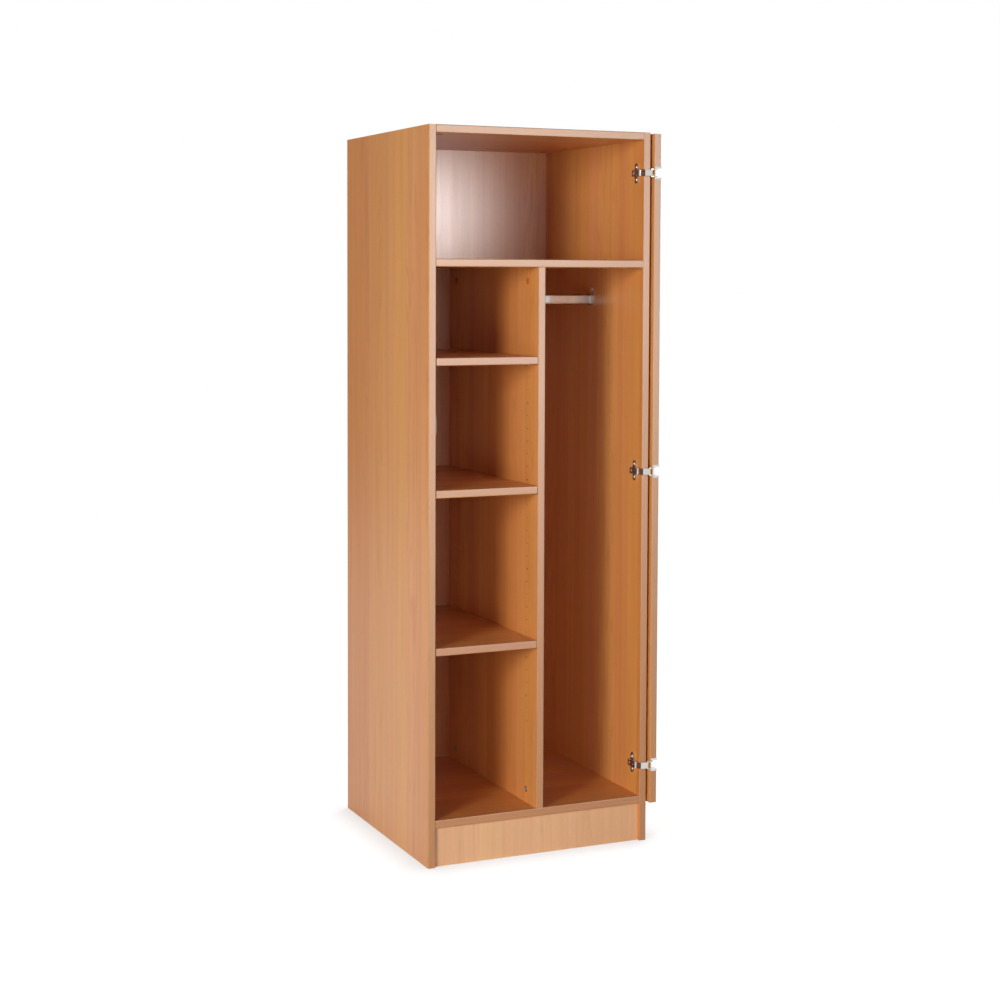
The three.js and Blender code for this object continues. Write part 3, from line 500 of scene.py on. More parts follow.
def rounded(width, height, radius, centre=(0.0, 0.0), steps=8):
    """The outline of a rectangle with round corners. With half its width as radius it is a slot."""
    points = []
    for right, up, start in ((1, 1, 0), (-1, 1, 90), (-1, -1, 180), (1, -1, 270)):
        for step in range(steps + 1):
            turn = math.radians(start + 90 * step / steps)
            point = (centre[0] + right * (width / 2 - radius) + radius * math.cos(turn),
                     centre[1] + up * (height / 2 - radius) + radius * math.sin(turn))
            if not points or math.dist(point, points[-1]) > ON_POINT:
                points.append(point)
    return points[:-1] if math.dist(points[0], points[-1]) < ON_POINT else points


def drawn(outline, low, high, axes="XYZ"):
    """An outline in the first two axes, carried along the third from low to high."""
    first, second, third = [AXES[axis] for axis in axes]
    surface = bmesh.new()
    rings = []
    for level in (low, high):
        ring = []
        for point in outline:
            place = [0.0, 0.0, 0.0]
            place[first], place[second], place[third] = *point, level
            ring.append(surface.verts.new(place))
        rings.append(ring)
        surface.faces.new(ring)
    for i, corner in enumerate(rings[0]):
        surface.faces.new((corner, rings[0][i - 1], rings[1][i - 1], rings[1][i]))
    bmesh.ops.recalc_face_normals(surface, faces=surface.faces)
    return surface


def turned(profile, centre, axis="X", steps=ROUND_STEPS):
    """A profile of radii and places, turned round an axis through the centre."""
    along = AXES[axis]
    first, second = [index for index in range(3) if index != along]
    surface = bmesh.new()
    rings = []
    for radius, level in profile:
        ring = []
        for step in range(steps if radius else 1):
            turn = 2 * math.pi * step / steps
            place = list(centre)
            place[along] += level
            place[first] += radius * math.cos(turn)
            place[second] += radius * math.sin(turn)
            ring.append(surface.verts.new(place))
        rings.append(ring)
    for here, there in zip(rings, rings[1:]):
        for i in range(steps):
            corners = [here[i % len(here)], here[i - 1 if len(here) > 1 else 0],
                       there[i - 1 if len(there) > 1 else 0], there[i % len(there)]]
            surface.faces.new(list(dict.fromkeys(corners)))
    bmesh.ops.recalc_face_normals(surface, faces=surface.faces)
    return surface


def rod(radius, start, end, centre, axis="X", steps=ROUND_STEPS):
    """A plain cylinder from start to end on its axis, for a bore or a barrel."""
    return turned(((0, start), (radius, start), (radius, end), (0, end)), centre, axis, steps)


def facing(profile, out):
    """A profile whose places look along out, +1 or -1."""
    return [(radius, out * level) for radius, level in profile]


def combined(body, tools, operation="DIFFERENCE"):
    """Cuts the tools out of a solid, or joins them to it with UNION."""
    things = []
    for surface in (body, *tools):
        mesh = bpy.data.meshes.new("shaping")
        surface.to_mesh(mesh)
        surface.free()
        things.append(bpy.data.objects.new("shaping", mesh))
        scene.collection.objects.link(things[-1])
    for tool in things[1:]:
        step = things[0].modifiers.new("step", "BOOLEAN")
        step.operation, step.solver, step.object = operation, "EXACT", tool
    result = bmesh.new()
    result.from_object(things[0], bpy.context.evaluated_depsgraph_get())
    for thing in things:
        mesh = thing.data
        bpy.data.objects.remove(thing)
        bpy.data.meshes.remove(mesh)
    return result


print("front left foot:", [round(x, 4) for x in CORNER])

# %% [markdown]
# ## Placing a piece
#
# Most new pieces stand for a solid of the model, and the small screws and caps are added. Each rides
# on a body of the model, so it moves with it. A small bevel softens the crisp edges of fittings,
# because even a sharp pressing has an edge that catches a line of light.

# %% Placing a piece
SHARP_ANGLE = math.radians(32)
BEVEL_ANGLE, BEVEL_SEGMENTS = math.radians(38), 2
slots = {row["node"]: row["material_slot"] for row in frame["record"]["subparts"]}


def placed(surface, name, materials, body, node=None, lift=0.0, soften=0.0):
    """Turns a surface in cabinet millimetres into a piece of the wardrobe."""
    shift = Matrix.Translation(CORNER + Vector((0, 0, lift * MM)))
    bmesh.ops.transform(surface, verts=surface.verts, matrix=shift @ Matrix.Scale(MM, 4))
    return finished(surface, name, materials, body, node, soften)


def finished(surface, name, materials, body, node=None, soften=0.0):
    """Gives a surface its materials, its soft edges, and the body that it rides on."""
    mesh = bpy.data.meshes.new(name)
    surface.to_mesh(mesh)
    surface.free()
    if "custom_normal" in mesh.attributes:
        mesh.attributes.remove(mesh.attributes["custom_normal"])
    for material in materials:
        mesh.materials.append(material)
    mesh.polygons.foreach_set("use_smooth", [True] * len(mesh.polygons))
    mesh.set_sharp_from_angle(angle=SHARP_ANGLE)
    piece = bpy.data.objects.new(name, mesh)
    scene.collection.objects.link(piece)
    if soften:
        bevel = piece.modifiers.new("soft_edges", "BEVEL")
        bevel.width, bevel.segments = soften * MM, BEVEL_SEGMENTS
        bevel.limit_method, bevel.angle_limit = "ANGLE", BEVEL_ANGLE
        bevel.harden_normals = True
    else:
        even = piece.modifiers.new("flat_faces", "WEIGHTED_NORMAL")
        even.keep_sharp = True
    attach(piece, body)
    if node:
        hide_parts(node)
    return piece


def cabinet_box(node):
    """The low and high corner of a solid's box, in cabinet millimetres."""
    return [(corner - CORNER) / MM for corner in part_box(node)]


def middle(node):
    """The middle of a solid's box, in cabinet millimetres."""
    low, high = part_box(node)
    return ((low + high) / 2 - CORNER) / MM


print("pieces to stand for:", len(slots))

# %% [markdown]
# ## Boards
#
# A board has three kinds of surface. Its two large faces are melamine, its visible narrow edges are
# closed with edging that also covers the rounded arrises, and everything else is raw chipboard.
# Which one a face is follows from where it lies and which way it looks, so one rule serves every
# board. The solids come with loose triangles, so their corners are welded first. Weighted normals
# keep the large faces flat right up to the rounded arris.

# %% Sorting the faces of a board
WELD = 0.002 * MM
EDGE_REACH = 2.05 * MM
ON_PLANE = 0.05 * MM
SQUARE_ON, JUST_TURNED = 0.99, 0.02
DECOR, EDGE, CORE = 0, 1, 2


def carried(node):
    """A welded working copy of a solid's surface."""
    surface = bmesh.new()
    surface.from_mesh(frame["nodes"][node].data)
    bmesh.ops.remove_doubles(surface, verts=surface.verts, dist=WELD)
    surface.normal_update()
    return surface


def sort_faces(surface, low, high, thickness, edged):
    """Gives each face of a board the index of its material."""
    through = AXES[thickness]
    for face in surface.faces:
        centre, normal = face.calc_center_median(), face.normal
        outside = min(centre[through] - low[through], high[through] - centre[through]) < ON_PLANE
        square_on = abs(normal[through]) > SQUARE_ON
        face.material_index = DECOR if outside and square_on else CORE
        if face.material_index == DECOR:
            continue
        for side, axis in edged:
            index = AXES[axis]
            depth = centre[index] - low[index] if side == "-" else high[index] - centre[index]
            facing_out = -normal[index] if side == "-" else normal[index]
            if depth < EDGE_REACH and facing_out > JUST_TURNED:
                face.material_index = EDGE


print("edging reaches round the arris by", round(EDGE_REACH / MM, 2), "mm")

# %% [markdown]
# The table says through which axis each board is thin, along which one its grain runs and which of
# its narrow sides are edged. The grain follows the length of the board, as it is cut from the sheet
# in that way to look calm and to be stiff. Boards also catch the lamp that gives only shine.

# %% Making the boards
BOARDS = {
    # thickness axis, grain axis, edged sides
    "left_side_panel": ("X", "Z", ("-Y", "+Z")),
    "right_side_panel": ("X", "Z", ("-Y", "+Z")),
    "partition": ("X", "Z", ("-Y",)),
    "top_panel": ("Z", "X", ("-Y",)),
    "bottom_panel": ("Z", "X", ("-Y",)),
    "hat_shelf": ("Z", "X", ("-Y",)),
    "shelf_upper": ("Z", "X", ("-Y",)),
    "shelf_middle": ("Z", "X", ("-Y",)),
    "shelf_lower": ("Z", "X", ("-Y",)),
    "plinth_board": ("Y", "Z", ()),
    "back_panel": ("Y", "Z", ()),
    "door": ("X", "Z", ("-Y", "+Y", "-Z", "+Z")),
}

for node, (thickness, along, edged) in BOARDS.items():
    board = carried(node)
    sort_faces(board, *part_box(node), thickness, edged)
    face = melamine["plinth"] if node == "plinth_board" else melamine[along]
    piece = finished(board, f"made_{node}", [face, edging[along], chipboard],
                     "door" if node == "door" else "cabinet", node)
    satin_pieces.objects.link(piece)
print("boards:", len(BOARDS))

# %% [markdown]
# ## Screws
#
# The screws of the hinges and the rail have a low domed head with a cross recess. The head is
# turned, and a cross of two bars is sunk into it, where a punch forms the recess of the real screw.

# %% Screws
DOME_SHARES = ((0.0, 1.0), (0.35, 0.97), (0.62, 0.86), (0.84, 0.64), (0.97, 0.3), (1.0, 0.0))
SCREW_STEPS, BORE_STEPS = 32, 24
# The recess as shares of the head: its depth and the height it is cut from, its length and width
RECESS_DEPTH, RECESS_ABOVE, RECESS_LENGTH, RECESS_WIDTH, RECESS_CORNER = 0.7, 1.5, 1.15, 0.24, 0.12
SCREWS = {
    # radius and height of the head, radius and length of the shank
    "support": ((3.7, 1.9), (1.9, 12.0)),
    "plate": ((4.8, 2.0), (2.8, 14.0)),
    "fixing": ((3.5, 1.3), (2.0, 5.0)),
    "adjusting": ((2.5, 0.8), (1.8, 4.0)),
    "cup": ((3.6, 0.5), (1.8, 14.0)),
}


def cross_screw(kind, face, out, axis="X"):
    """A screw whose head sits at face and looks along out, +1 or -1, on the axis."""
    (radius, height), (shank_radius, length) = SCREWS[kind]
    dome = [(share * radius, out * rise * height) for share, rise in DOME_SHARES]
    body = turned([*dome, (shank_radius, 0.0), (shank_radius, -out * (length - shank_radius)),
                   (0.0, -out * length)], face, axis, SCREW_STEPS)
    first, second = [name for name in "XYZ" if name != axis]
    centre = (face[AXES[first]], face[AXES[second]])
    levels = sorted(face[AXES[axis]] + out * height * share
                    for share in (1 - RECESS_DEPTH, RECESS_ABOVE))
    long, narrow = RECESS_LENGTH * radius, RECESS_WIDTH * radius
    arms = [drawn(rounded(*size, RECESS_CORNER * radius, centre, 2), *levels, first + second + axis)
            for size in ((long, narrow), (narrow, long))]
    return combined(body, arms)


print("kinds of domed screw:", list(SCREWS))

# %% [markdown]
# ## Shelf pins
#
# A push-in pin is turned from steel rod and nickel plated. A thin collar stops it at the wall of
# the hole, and its tail carries the shelf.

# %% Shelf pins
PIN_TAIL, PIN_STEPS = 11.0, 28
PIN_PROFILE = ((0.0, -PIN_TAIL), (1.7, -PIN_TAIL), (2.4, 0.8 - PIN_TAIL), (2.4, 0.0), (3.45, 0.0),
               (3.6, 0.15), (3.6, 0.45), (3.45, 0.6), (2.5, 0.6), (2.5, 7.0), (2.35, 7.6),
               (1.9, 7.93), (0.0, 8.0))

for node in [node for node in slots if node.startswith("pin_")]:
    out = 1 if "_left_" in node else -1
    low, high = cabinet_box(node)
    place = middle(node)
    place.x = low.x + PIN_TAIL if out > 0 else high.x - PIN_TAIL
    pin = turned(facing(PIN_PROFILE, out), place, "X", PIN_STEPS)
    placed(pin, f"made_{node}", [nickel_steel], "cabinet", node)
print("shelf pin points:", len(PIN_PROFILE))

# %% [markdown]
# ## Connectors
#
# The partition hangs from the hat shelf and stands on the bottom on cam connectors. The lower cams
# are open: zinc castings with a cross slot for the screwdriver. The upper ones are closed with
# moulded caps, and so are those under the top panel and under the hat shelf, where the caps are all
# one sees.

# %% Cams and caps
CAM_PROFILE = ((0.0, 12.5), (7.1, 12.5), (7.5, 12.1), (7.5, 0.5), (7.0, 0.0), (5.9, 0.0),
               (5.6, 0.4), (0.0, 0.4))
CAM_SLOT_LENGTH, CAM_SLOT_WIDTH, CAM_SLOT_CORNER, CAM_SLOT_DEPTH = 9.0, 1.8, 0.4, 2.4
CAP_PROFILE = ((0.0, -3.6), (7.0, -3.6), (7.3, -3.3), (7.3, 0.0), (8.8, 0.0), (8.8, 0.5),
               (8.4, 1.0), (7.2, 1.28), (6.9, 1.12), (6.6, 1.3), (3.5, 1.4), (0.0, 1.4))
PAST = 1.0    # a cut starts this far outside the face that it opens

for node in ("connector_cam_front", "connector_cam_rear"):
    low, high = cabinet_box(node)
    place = middle(node)
    place.x = low.x
    bars = [drawn(rounded(*size, CAM_SLOT_CORNER, (place.y, place.z), 2),
                  low.x - PAST, low.x + CAM_SLOT_DEPTH, "YZX")
            for size in ((CAM_SLOT_LENGTH, CAM_SLOT_WIDTH), (CAM_SLOT_WIDTH, CAM_SLOT_LENGTH))]
    cam = combined(turned(CAM_PROFILE, place, "X"), bars)
    placed(cam, f"made_{node}", [zinc_steel], "cabinet", node)

for node in ("connector_cap_front", "connector_cap_rear"):
    place = middle(node)
    place.x = cabinet_box("partition")[0].x
    cap = turned(facing(CAP_PROFILE, -1), place, "X")
    placed(cap, f"made_{node}", [cap_plastic], "cabinet", node)

CAP_COLUMNS = {"left": 53.0, "right": 547.0}
CAP_ROWS = {"front": 62.5, "rear": 517.5}
for board in ("top_panel", "hat_shelf"):
    underside = cabinet_box(board)[0].z
    for side, x in CAP_COLUMNS.items():
        for end, y in CAP_ROWS.items():
            cap = turned(facing(CAP_PROFILE, -1), (x, y, underside), "Z")
            placed(cap, f"{board}_cap_{side}_{end}", [cap_plastic], "cabinet")
print("caps under the boards:", 2 * len(CAP_COLUMNS) * len(CAP_ROWS))

# %% [markdown]
# ## Clothes rail
#
# The rail is an oval steel tube, welded from strip and chrome plated. At each end it lies in a cast
# support: a plate on the wall with a collar round the tube and a tab above for the screw.

# %% Clothes rail
RAIL_WIDTH, RAIL_HEIGHT, RAIL_WALL, RAIL_PLAY = 15.0, 30.0, 1.2, 0.3
COLLAR_WALL, COLLAR_LENGTH, SUPPORT_PLATE, SUPPORT_SOFTNESS = 1.8, 11.0, 2.2, 0.5
TAB_WIDTH, TAB_TOP, SCREW_BELOW_TAB_TOP = 16.0, 34.1, 8.0


def oval(grow, centre, steps=16):
    """The tube's oval outline, grown all round."""
    width, height = RAIL_WIDTH + 2 * grow, RAIL_HEIGHT + 2 * grow
    return rounded(width, height, width / 2, centre, steps)


rail_low, rail_high = cabinet_box("clothes_rail")
rail_axis = (middle("clothes_rail").y, middle("clothes_rail").z)
tube = drawn(oval(0, rail_axis), rail_low.x, rail_high.x, "YZX")
bore = drawn(oval(-RAIL_WALL, rail_axis), rail_low.x - PAST, rail_high.x + PAST, "YZX")
placed(combined(tube, [bore]), "made_clothes_rail", [chrome_tube], "cabinet",
       "clothes_rail")

for node, out in (("rail_support_left", 1), ("rail_support_right", -1)):
    low, high = cabinet_box(node)
    wall = low.x if out > 0 else high.x
    plate_face, collar_end, past_collar = [wall + out * reach for reach in
                                           (SUPPORT_PLATE, COLLAR_LENGTH, 2 * COLLAR_LENGTH)]
    y, z = rail_axis
    tab = drawn(rounded(TAB_WIDTH, TAB_TOP, TAB_WIDTH / 2, (y, z + TAB_TOP / 2)),
                *sorted((wall, plate_face)), "YZX")
    collar = drawn(oval(RAIL_PLAY + COLLAR_WALL, rail_axis), *sorted((wall, collar_end)), "YZX")
    seat = drawn(oval(RAIL_PLAY, rail_axis), *sorted((plate_face, past_collar)), "YZX")
    support = combined(combined(tab, [collar], "UNION"), [seat])
    placed(support, f"made_{node}", [nickel_casting], "cabinet", node,
           soften=SUPPORT_SOFTNESS)
    screw = cross_screw("support", (plate_face, y, z + TAB_TOP - SCREW_BELOW_TAB_TOP), out)
    placed(screw, f"{node}_screw", [nickel_steel], "cabinet")
print("rail length:", round(rail_high.x - rail_low.x, 1), "mm")

# %% [markdown]
# ## Hinges, fixed side
#
# This is a double-jointed hinge for a door that opens through 270 degrees. A cross-shaped mounting
# plate is screwed to the side panel. A cast arm grips its rib, steps down, and bends round the
# panel's front edge, where two ears hold the fixed pin with its thick brass middle.

# %% Mounting plates
INNER_WALL, PLATE_THICKNESS, PLATE_CENTRE, PLATE_SOFTNESS = 581.0, 4.2, 35.0, 1.5
SPINE, WINGS, RIB, RIB_FACE = (27.0, 17.0, 6.0), (12.0, 51.0, 5.9), (24.0, 9.0, 1.0), 572.1
PLATE_SCREW_HEIGHT, PLATE_HOLE, PLATE_HOLE_START, PLATE_HOLE_END = 16.0, 2.9, -2.0, 8.0
HEAD_OFF = 0.05    # lifts a screw head off its seat by a hair, so that no two faces coincide
HINGES = {name: middle(f"hinge_{name}_plate").z for name in ("bottom", "middle", "top")}

for name, height in HINGES.items():
    near = INNER_WALL - PLATE_THICKNESS
    spine = drawn(rounded(*SPINE, (PLATE_CENTRE, 0)), near, INNER_WALL, "YZX")
    wings = drawn(rounded(*WINGS, (PLATE_CENTRE, 0)), near, INNER_WALL, "YZX")
    rib = drawn(rounded(*RIB, (PLATE_CENTRE, 0), 3), RIB_FACE, INNER_WALL, "YZX")
    holes = [rod(PLATE_HOLE, PLATE_HOLE_START, PLATE_HOLE_END,
                 (near, PLATE_CENTRE, side * PLATE_SCREW_HEIGHT), "X", BORE_STEPS)
             for side in (-1, 1)]
    plate = combined(combined(spine, [wings, rib], "UNION"), holes)
    placed(plate, f"made_hinge_{name}_plate", [dark_nickel], "cabinet",
           f"hinge_{name}_plate", height, PLATE_SOFTNESS)
    for side, end in ((1, "upper"), (-1, "lower")):
        screw = cross_screw("plate", (near - HEAD_OFF, PLATE_CENTRE, side * PLATE_SCREW_HEIGHT), -1)
        placed(screw, f"made_hinge_{name}_screw_{end}", [nickel_steel], "cabinet",
               f"hinge_{name}_screw_{end}", height)
print("hinge heights:", {name: round(z, 1) for name, z in HINGES.items()})

# %% [markdown]
# The arm is cast in zinc and hollow where it grips the rib of the plate. Its outline is drawn once
# in the plan and carried up through its height. Then the channel, the pocket and the bore for the
# pin and the window over the adjusting screw are cut out, as the slides of a die leave them.

# %% Hinge arms
# Places in the plan, from the carcass's front left corner. The web is the face seen from inside
WEB, WEB_THICKNESS, DROP, BEND = 570.0, 1.8, 3.7, 6.0
ARM_END, ARM_HALF, ARM_CHAMFER, BACK_CHAMFER, ARM_SOFTNESS = 46.0, 7.7, 2.0, 1.0, 0.5
CHEEK, CHANNEL_START, ARM_BACK = 1.5, 12.0, 576.5
FIXED_PIN, KNUCKLE = (601.35, -6.25), 2.9
CRANK_FRONT, ELBOW, EAR_ROOT, BEHIND_EAR = (579.95, -9.15), 580.4, 595.45, -1.0
POCKET, POCKET_HALF, PIN_BORE, EAR_BORE_HALF = 3.2, 5.2, 1.9, 9.0
WINDOW, WINDOW_DEPTH = (7.0, 5.4, 2.6), 15.5
FIXING_SCREW_DEPTH, ADJUSTING_SCREW_SUNK = 36.0, 1.6


def arc(centre, radius, start, end, steps=12):
    """Points along an arc, from one angle in degrees to another."""
    turns = [math.radians(start + (end - start) * step / steps) for step in range(steps + 1)]
    return [(centre[0] + radius * math.cos(turn), centre[1] + radius * math.sin(turn))
            for turn in turns]


def arm_casting():
    """The cranked arm with its channel, its pocket and bore for the pin, and its screw window."""
    outline = [(WEB, BEND), (WEB + DROP, BEND), CRANK_FRONT, *arc(FIXED_PIN, KNUCKLE, -90, 90),
               (EAR_ROOT, BEHIND_EAR), (ELBOW, BEHIND_EAR), (ELBOW, CHANNEL_START),
               (ARM_BACK, CHANNEL_START), (ARM_BACK, ARM_END - BACK_CHAMFER),
               (ARM_BACK - BACK_CHAMFER, ARM_END), (WEB + ARM_CHAMFER, ARM_END),
               (WEB, ARM_END - ARM_CHAMFER)]
    body = drawn(outline, -ARM_HALF, ARM_HALF)
    roof, inside = WEB + WEB_THICKNESS, ARM_HALF - CHEEK
    channel = drawn(((roof, CHANNEL_START), (INNER_WALL, CHANNEL_START),
                     (INNER_WALL, ARM_END + PAST), (roof, ARM_END + PAST)), -inside, inside)
    pocket = rod(POCKET, -POCKET_HALF, POCKET_HALF, (*FIXED_PIN, 0), "Z")
    bore = rod(PIN_BORE, -EAR_BORE_HALF, EAR_BORE_HALF, (*FIXED_PIN, 0), "Z", BORE_STEPS)
    window = drawn(rounded(*WINDOW, (WINDOW_DEPTH, 0)), WEB - PAST, roof + PAST, "YZX")
    return combined(body, [channel, pocket, bore, window])


for name, height in HINGES.items():
    placed(arm_casting(), f"made_hinge_{name}_arm", [nickel_casting], "cabinet",
           f"hinge_{name}_arm", height, ARM_SOFTNESS)
    fixing = cross_screw("fixing", (WEB - HEAD_OFF, FIXING_SCREW_DEPTH, 0), -1)
    placed(fixing, f"hinge_{name}_fixing_screw", [zinc_steel], "cabinet", lift=height)
    seat = WEB + WEB_THICKNESS + ADJUSTING_SCREW_SUNK
    adjusting = cross_screw("adjusting", (seat, WINDOW_DEPTH, 0), -1)
    placed(adjusting, f"hinge_{name}_adjusting_screw", [zinc_steel], "cabinet", lift=height)
print("fixed pin:", FIXED_PIN)

# %% [markdown]
# ## Hinges, pins and links
#
# The link is pressed from two cranked plates with a barrel between them for the cup pin. The fixed
# pin is turned from brass: its thick middle fills the pocket of the arm, and its thin ends pass
# through the ears and the link and are riveted over.

# %% Fixed pins and links
PIN_END = ((0.0, 11.2), (1.6, 11.2), (2.35, 10.95), (2.5, 10.5), (1.6, 10.5), (1.6, 4.9),
           (2.75, 4.9), (2.9, 4.75))
CUP_PIN = (613.4, 1.7)
LINK_WIDTH, LINK_LOW, LINK_HIGH, BARREL, LINK_SOFTNESS = 3.0, 8.0, 10.2, 2.8, 0.25
LINK_BORE_HALF = 12.0
LINK_FRONT = -10.2
LINK_PATH = (FIXED_PIN, (602.35, LINK_FRONT), (CUP_PIN[0], LINK_FRONT), CUP_PIN)


def strap(start, end, low, high):
    """A flat bar with round ends between two points of the plan."""
    run = Vector(end) - Vector(start)
    length = run.length + LINK_WIDTH
    bar = drawn(rounded(length, LINK_WIDTH, LINK_WIDTH / 2, (run.length / 2, 0)), low, high)
    turn = Matrix.Translation((*start, 0)) @ Matrix.Rotation(math.atan2(run.y, run.x), 4, "Z")
    bmesh.ops.transform(bar, verts=bar.verts, matrix=turn)
    return bar


for name, height in HINGES.items():
    ends = [*PIN_END, *facing(reversed(PIN_END), -1)]
    placed(turned(ends, (*FIXED_PIN, 0), "Z", SCREW_STEPS), f"made_hinge_{name}_knuckle_pin",
           [turned_brass], "cabinet", f"hinge_{name}_knuckle_pin", height)
    bars = [rod(BARREL, -LINK_HIGH, LINK_HIGH, (*CUP_PIN, 0), "Z")]
    for low, high in ((LINK_LOW, LINK_HIGH), (-LINK_HIGH, -LINK_LOW)):
        bars += [strap(start, end, low, high) for start, end in zip(LINK_PATH, LINK_PATH[1:])]
        bars.append(rod(KNUCKLE, low, high, (*FIXED_PIN, 0), "Z"))
    bores = [rod(PIN_BORE, -LINK_BORE_HALF, LINK_BORE_HALF, (*pin, 0), "Z", BORE_STEPS)
             for pin in (FIXED_PIN, CUP_PIN)]
    link = combined(combined(bars[0], bars[1:], "UNION"), bores)
    placed(link, f"made_hinge_{name}_link", [nickel_steel], "hinge_links",
           f"hinge_{name}_link", height, LINK_SOFTNESS)
print("pins apart:", round(math.dist(FIXED_PIN, CUP_PIN), 2), "mm")

# %% [markdown]
# ## Hinges, door side
#
# The cup is let into the door's edge. Its flange has two wings on the inside face, each held by a
# screw, and the mouth is open to the edge, so that the link can swing out of it.

# %% Cups
DOOR_INSIDE, HINGE_EDGE = 625.6, -8.0
CUP_HALF, CUP_DEPTH, CUP_CENTRE, CUP_SOFTNESS = 16.5, 14.0, 11.5, 0.3
COLLAR_END, COLLAR_CORNER, FLANGE = 32.0, 8.25, 1.2
EDGE_LIP, EDGE_LIP_DEPTH = 1.0, 17.0
MOUTH_HALF, MOUTH_END, MOUTH_DEPTH = 11.5, 20.0, 16.0
WING_WIDTH, WING_HALF, WING_FLAT, CUP_SCREW_HEIGHT = 16.0, 26.0, 0.1, 21.0
CUP_BORE_HALF = 18.0
CUP_PIN_PROFILE = ((0.0, -16.2), (1.3, -16.2), (1.6, -15.9), (1.6, 15.9), (1.3, 16.2), (0.0, 16.2))


def across_edge(near, far, half):
    """A rectangle in the door's inner face, from near to far of its edge."""
    return ((near, half), (near, -half), (far, -half), (far, half))


def cup():
    """A pressed cup with its flange and its wings, open to the door's edge."""
    flange = DOOR_INSIDE + FLANGE
    start = [(HINGE_EDGE, CUP_HALF), (HINGE_EDGE, -CUP_HALF)]
    shell = [*start, *arc((CUP_CENTRE, 0), CUP_HALF, -90, 90, 24)]
    corner_y, corner_z = COLLAR_END - COLLAR_CORNER, CUP_HALF - COLLAR_CORNER
    collar = [*start, *arc((corner_y, -corner_z), COLLAR_CORNER, -90, 0, 8),
              *arc((corner_y, corner_z), COLLAR_CORNER, 0, 90, 8)]
    wings = rounded(WING_WIDTH, 2 * WING_HALF, WING_WIDTH / 2 - WING_FLAT, (CUP_CENTRE, 0))
    edge = across_edge(HINGE_EDGE, HINGE_EDGE + EDGE_LIP, CUP_HALF)
    body = combined(drawn(shell, DOOR_INSIDE - CUP_DEPTH, DOOR_INSIDE, "YZX"),
                    [drawn(collar, DOOR_INSIDE, flange, "YZX"),
                     drawn(wings, DOOR_INSIDE, flange, "YZX"),
                     drawn(edge, DOOR_INSIDE - EDGE_LIP_DEPTH, flange, "YZX")], "UNION")
    mouth = drawn(across_edge(HINGE_EDGE - PAST, MOUTH_END, MOUTH_HALF),
                  DOOR_INSIDE - MOUTH_DEPTH, flange + PAST, "YZX")
    bore = rod(PIN_BORE, -CUP_BORE_HALF, CUP_BORE_HALF, (*CUP_PIN, 0), "Z", BORE_STEPS)
    return combined(body, [mouth, bore])


for name, height in HINGES.items():
    placed(cup(), f"made_hinge_{name}_cup", [nickel_steel], "door", f"hinge_{name}_cup",
           height, CUP_SOFTNESS)
    placed(turned(CUP_PIN_PROFILE, (*CUP_PIN, 0), "Z", BORE_STEPS), f"made_hinge_{name}_cup_pin",
           [zinc_steel], "door", f"hinge_{name}_cup_pin", height)
    for side, end in ((1, "upper"), (-1, "lower")):
        # The head is almost flat, because it has to clear the side panel when the door is closed
        face = (DOOR_INSIDE + FLANGE + HEAD_OFF, CUP_CENTRE, side * CUP_SCREW_HEIGHT)
        placed(cross_screw("cup", face, 1), f"hinge_{name}_cup_screw_{end}", [nickel_steel], "door",
               lift=height)
print("cup pins:", CUP_PIN)

# %% [markdown]
# ## Lock, strike and handle
#
# A cupboard lock is screwed to the door's inside. Its cast case holds a round cylinder, which shows
# in the outside face, and a square bolt. On the other side of the opening a flat strike plate
# receives the bolt. The handle is a flush pull, a shallow tray with a thin lip, so that the door
# can fold back flat. The lock and the strike are held by countersunk screws with flat heads.

# %% Flush screws
CONE_PROFILE = ((0.0, 0.6), (4.1, 0.6), (3.6, 0.0), (1.7, -1.9), (0.0, -1.9))
FLUSH_PROFILE = ((0.0, -0.15), (3.1, -0.15), (3.3, -0.35), (1.6, -1.85), (1.6, -8.0), (0.0, -8.0))
CROSS_LENGTH, CROSS_WIDTH, CROSS_CORNER, CROSS_DEPTH = 3.8, 0.8, 0.3, 1.2


def countersunk(place, out, axis="X"):
    """The cone that is cut for a flush screw head, and the screw that fills it."""
    cone = turned(facing(CONE_PROFILE, out), place, axis)
    flush = turned(facing(FLUSH_PROFILE, out), place, axis, SCREW_STEPS)
    first, second = [name for name in "XYZ" if name != axis]
    centre, level = (place[AXES[first]], place[AXES[second]]), place[AXES[axis]]
    levels = sorted((level + out * PAST, level - out * CROSS_DEPTH))
    arms = [drawn(rounded(*size, CROSS_CORNER, centre, 2), *levels, first + second + axis)
            for size in ((CROSS_LENGTH, CROSS_WIDTH), (CROSS_WIDTH, CROSS_LENGTH))]
    return cone, combined(flush, arms)


print("flush screw points:", len(FLUSH_PROFILE))

# %% Lock
LOCK_HEIGHT, DOOR_THICKNESS = 1080.0, 19.0
CASE_WIDTH, CASE_HEIGHT, CASE_DEPTH, CASE_CORNER, CASE_SOFTNESS = 40.0, 46.0, 15.0, 4.0, 0.6
BARREL_PROFILE = ((0, 4.0), (9.0, 4.0), (9.0, -19.6), (8.6, -20.0), (0, -20.0))
CORE_PROFILE = ((0, 4.0), (6.5, 4.0), (6.5, -20.3), (6.2, -20.6), (0, -20.6))
CORE_BORE, CORE_BORE_START, CORE_BORE_END = 6.8, 4.3, -21.0
KEY_SLOT, KEY_SLOT_DEPTH = (1.6, 7.5, 0.7), 6.0
BOLT, BOLT_BEHIND, BOLT_NEAR, BOLT_FAR, BOLT_SOFTNESS = (30.0, 16.0, 0.6), 15.3, 632.1, 638.1, 0.5
BOLT_WAY, BOLT_WAY_BEHIND, BOLT_PLAY = (31.6, 16.6, 0.3), 14.8, 0.3
LOCK_SCREW_ACROSS = {"inner": -14.0, "outer": 14.0}
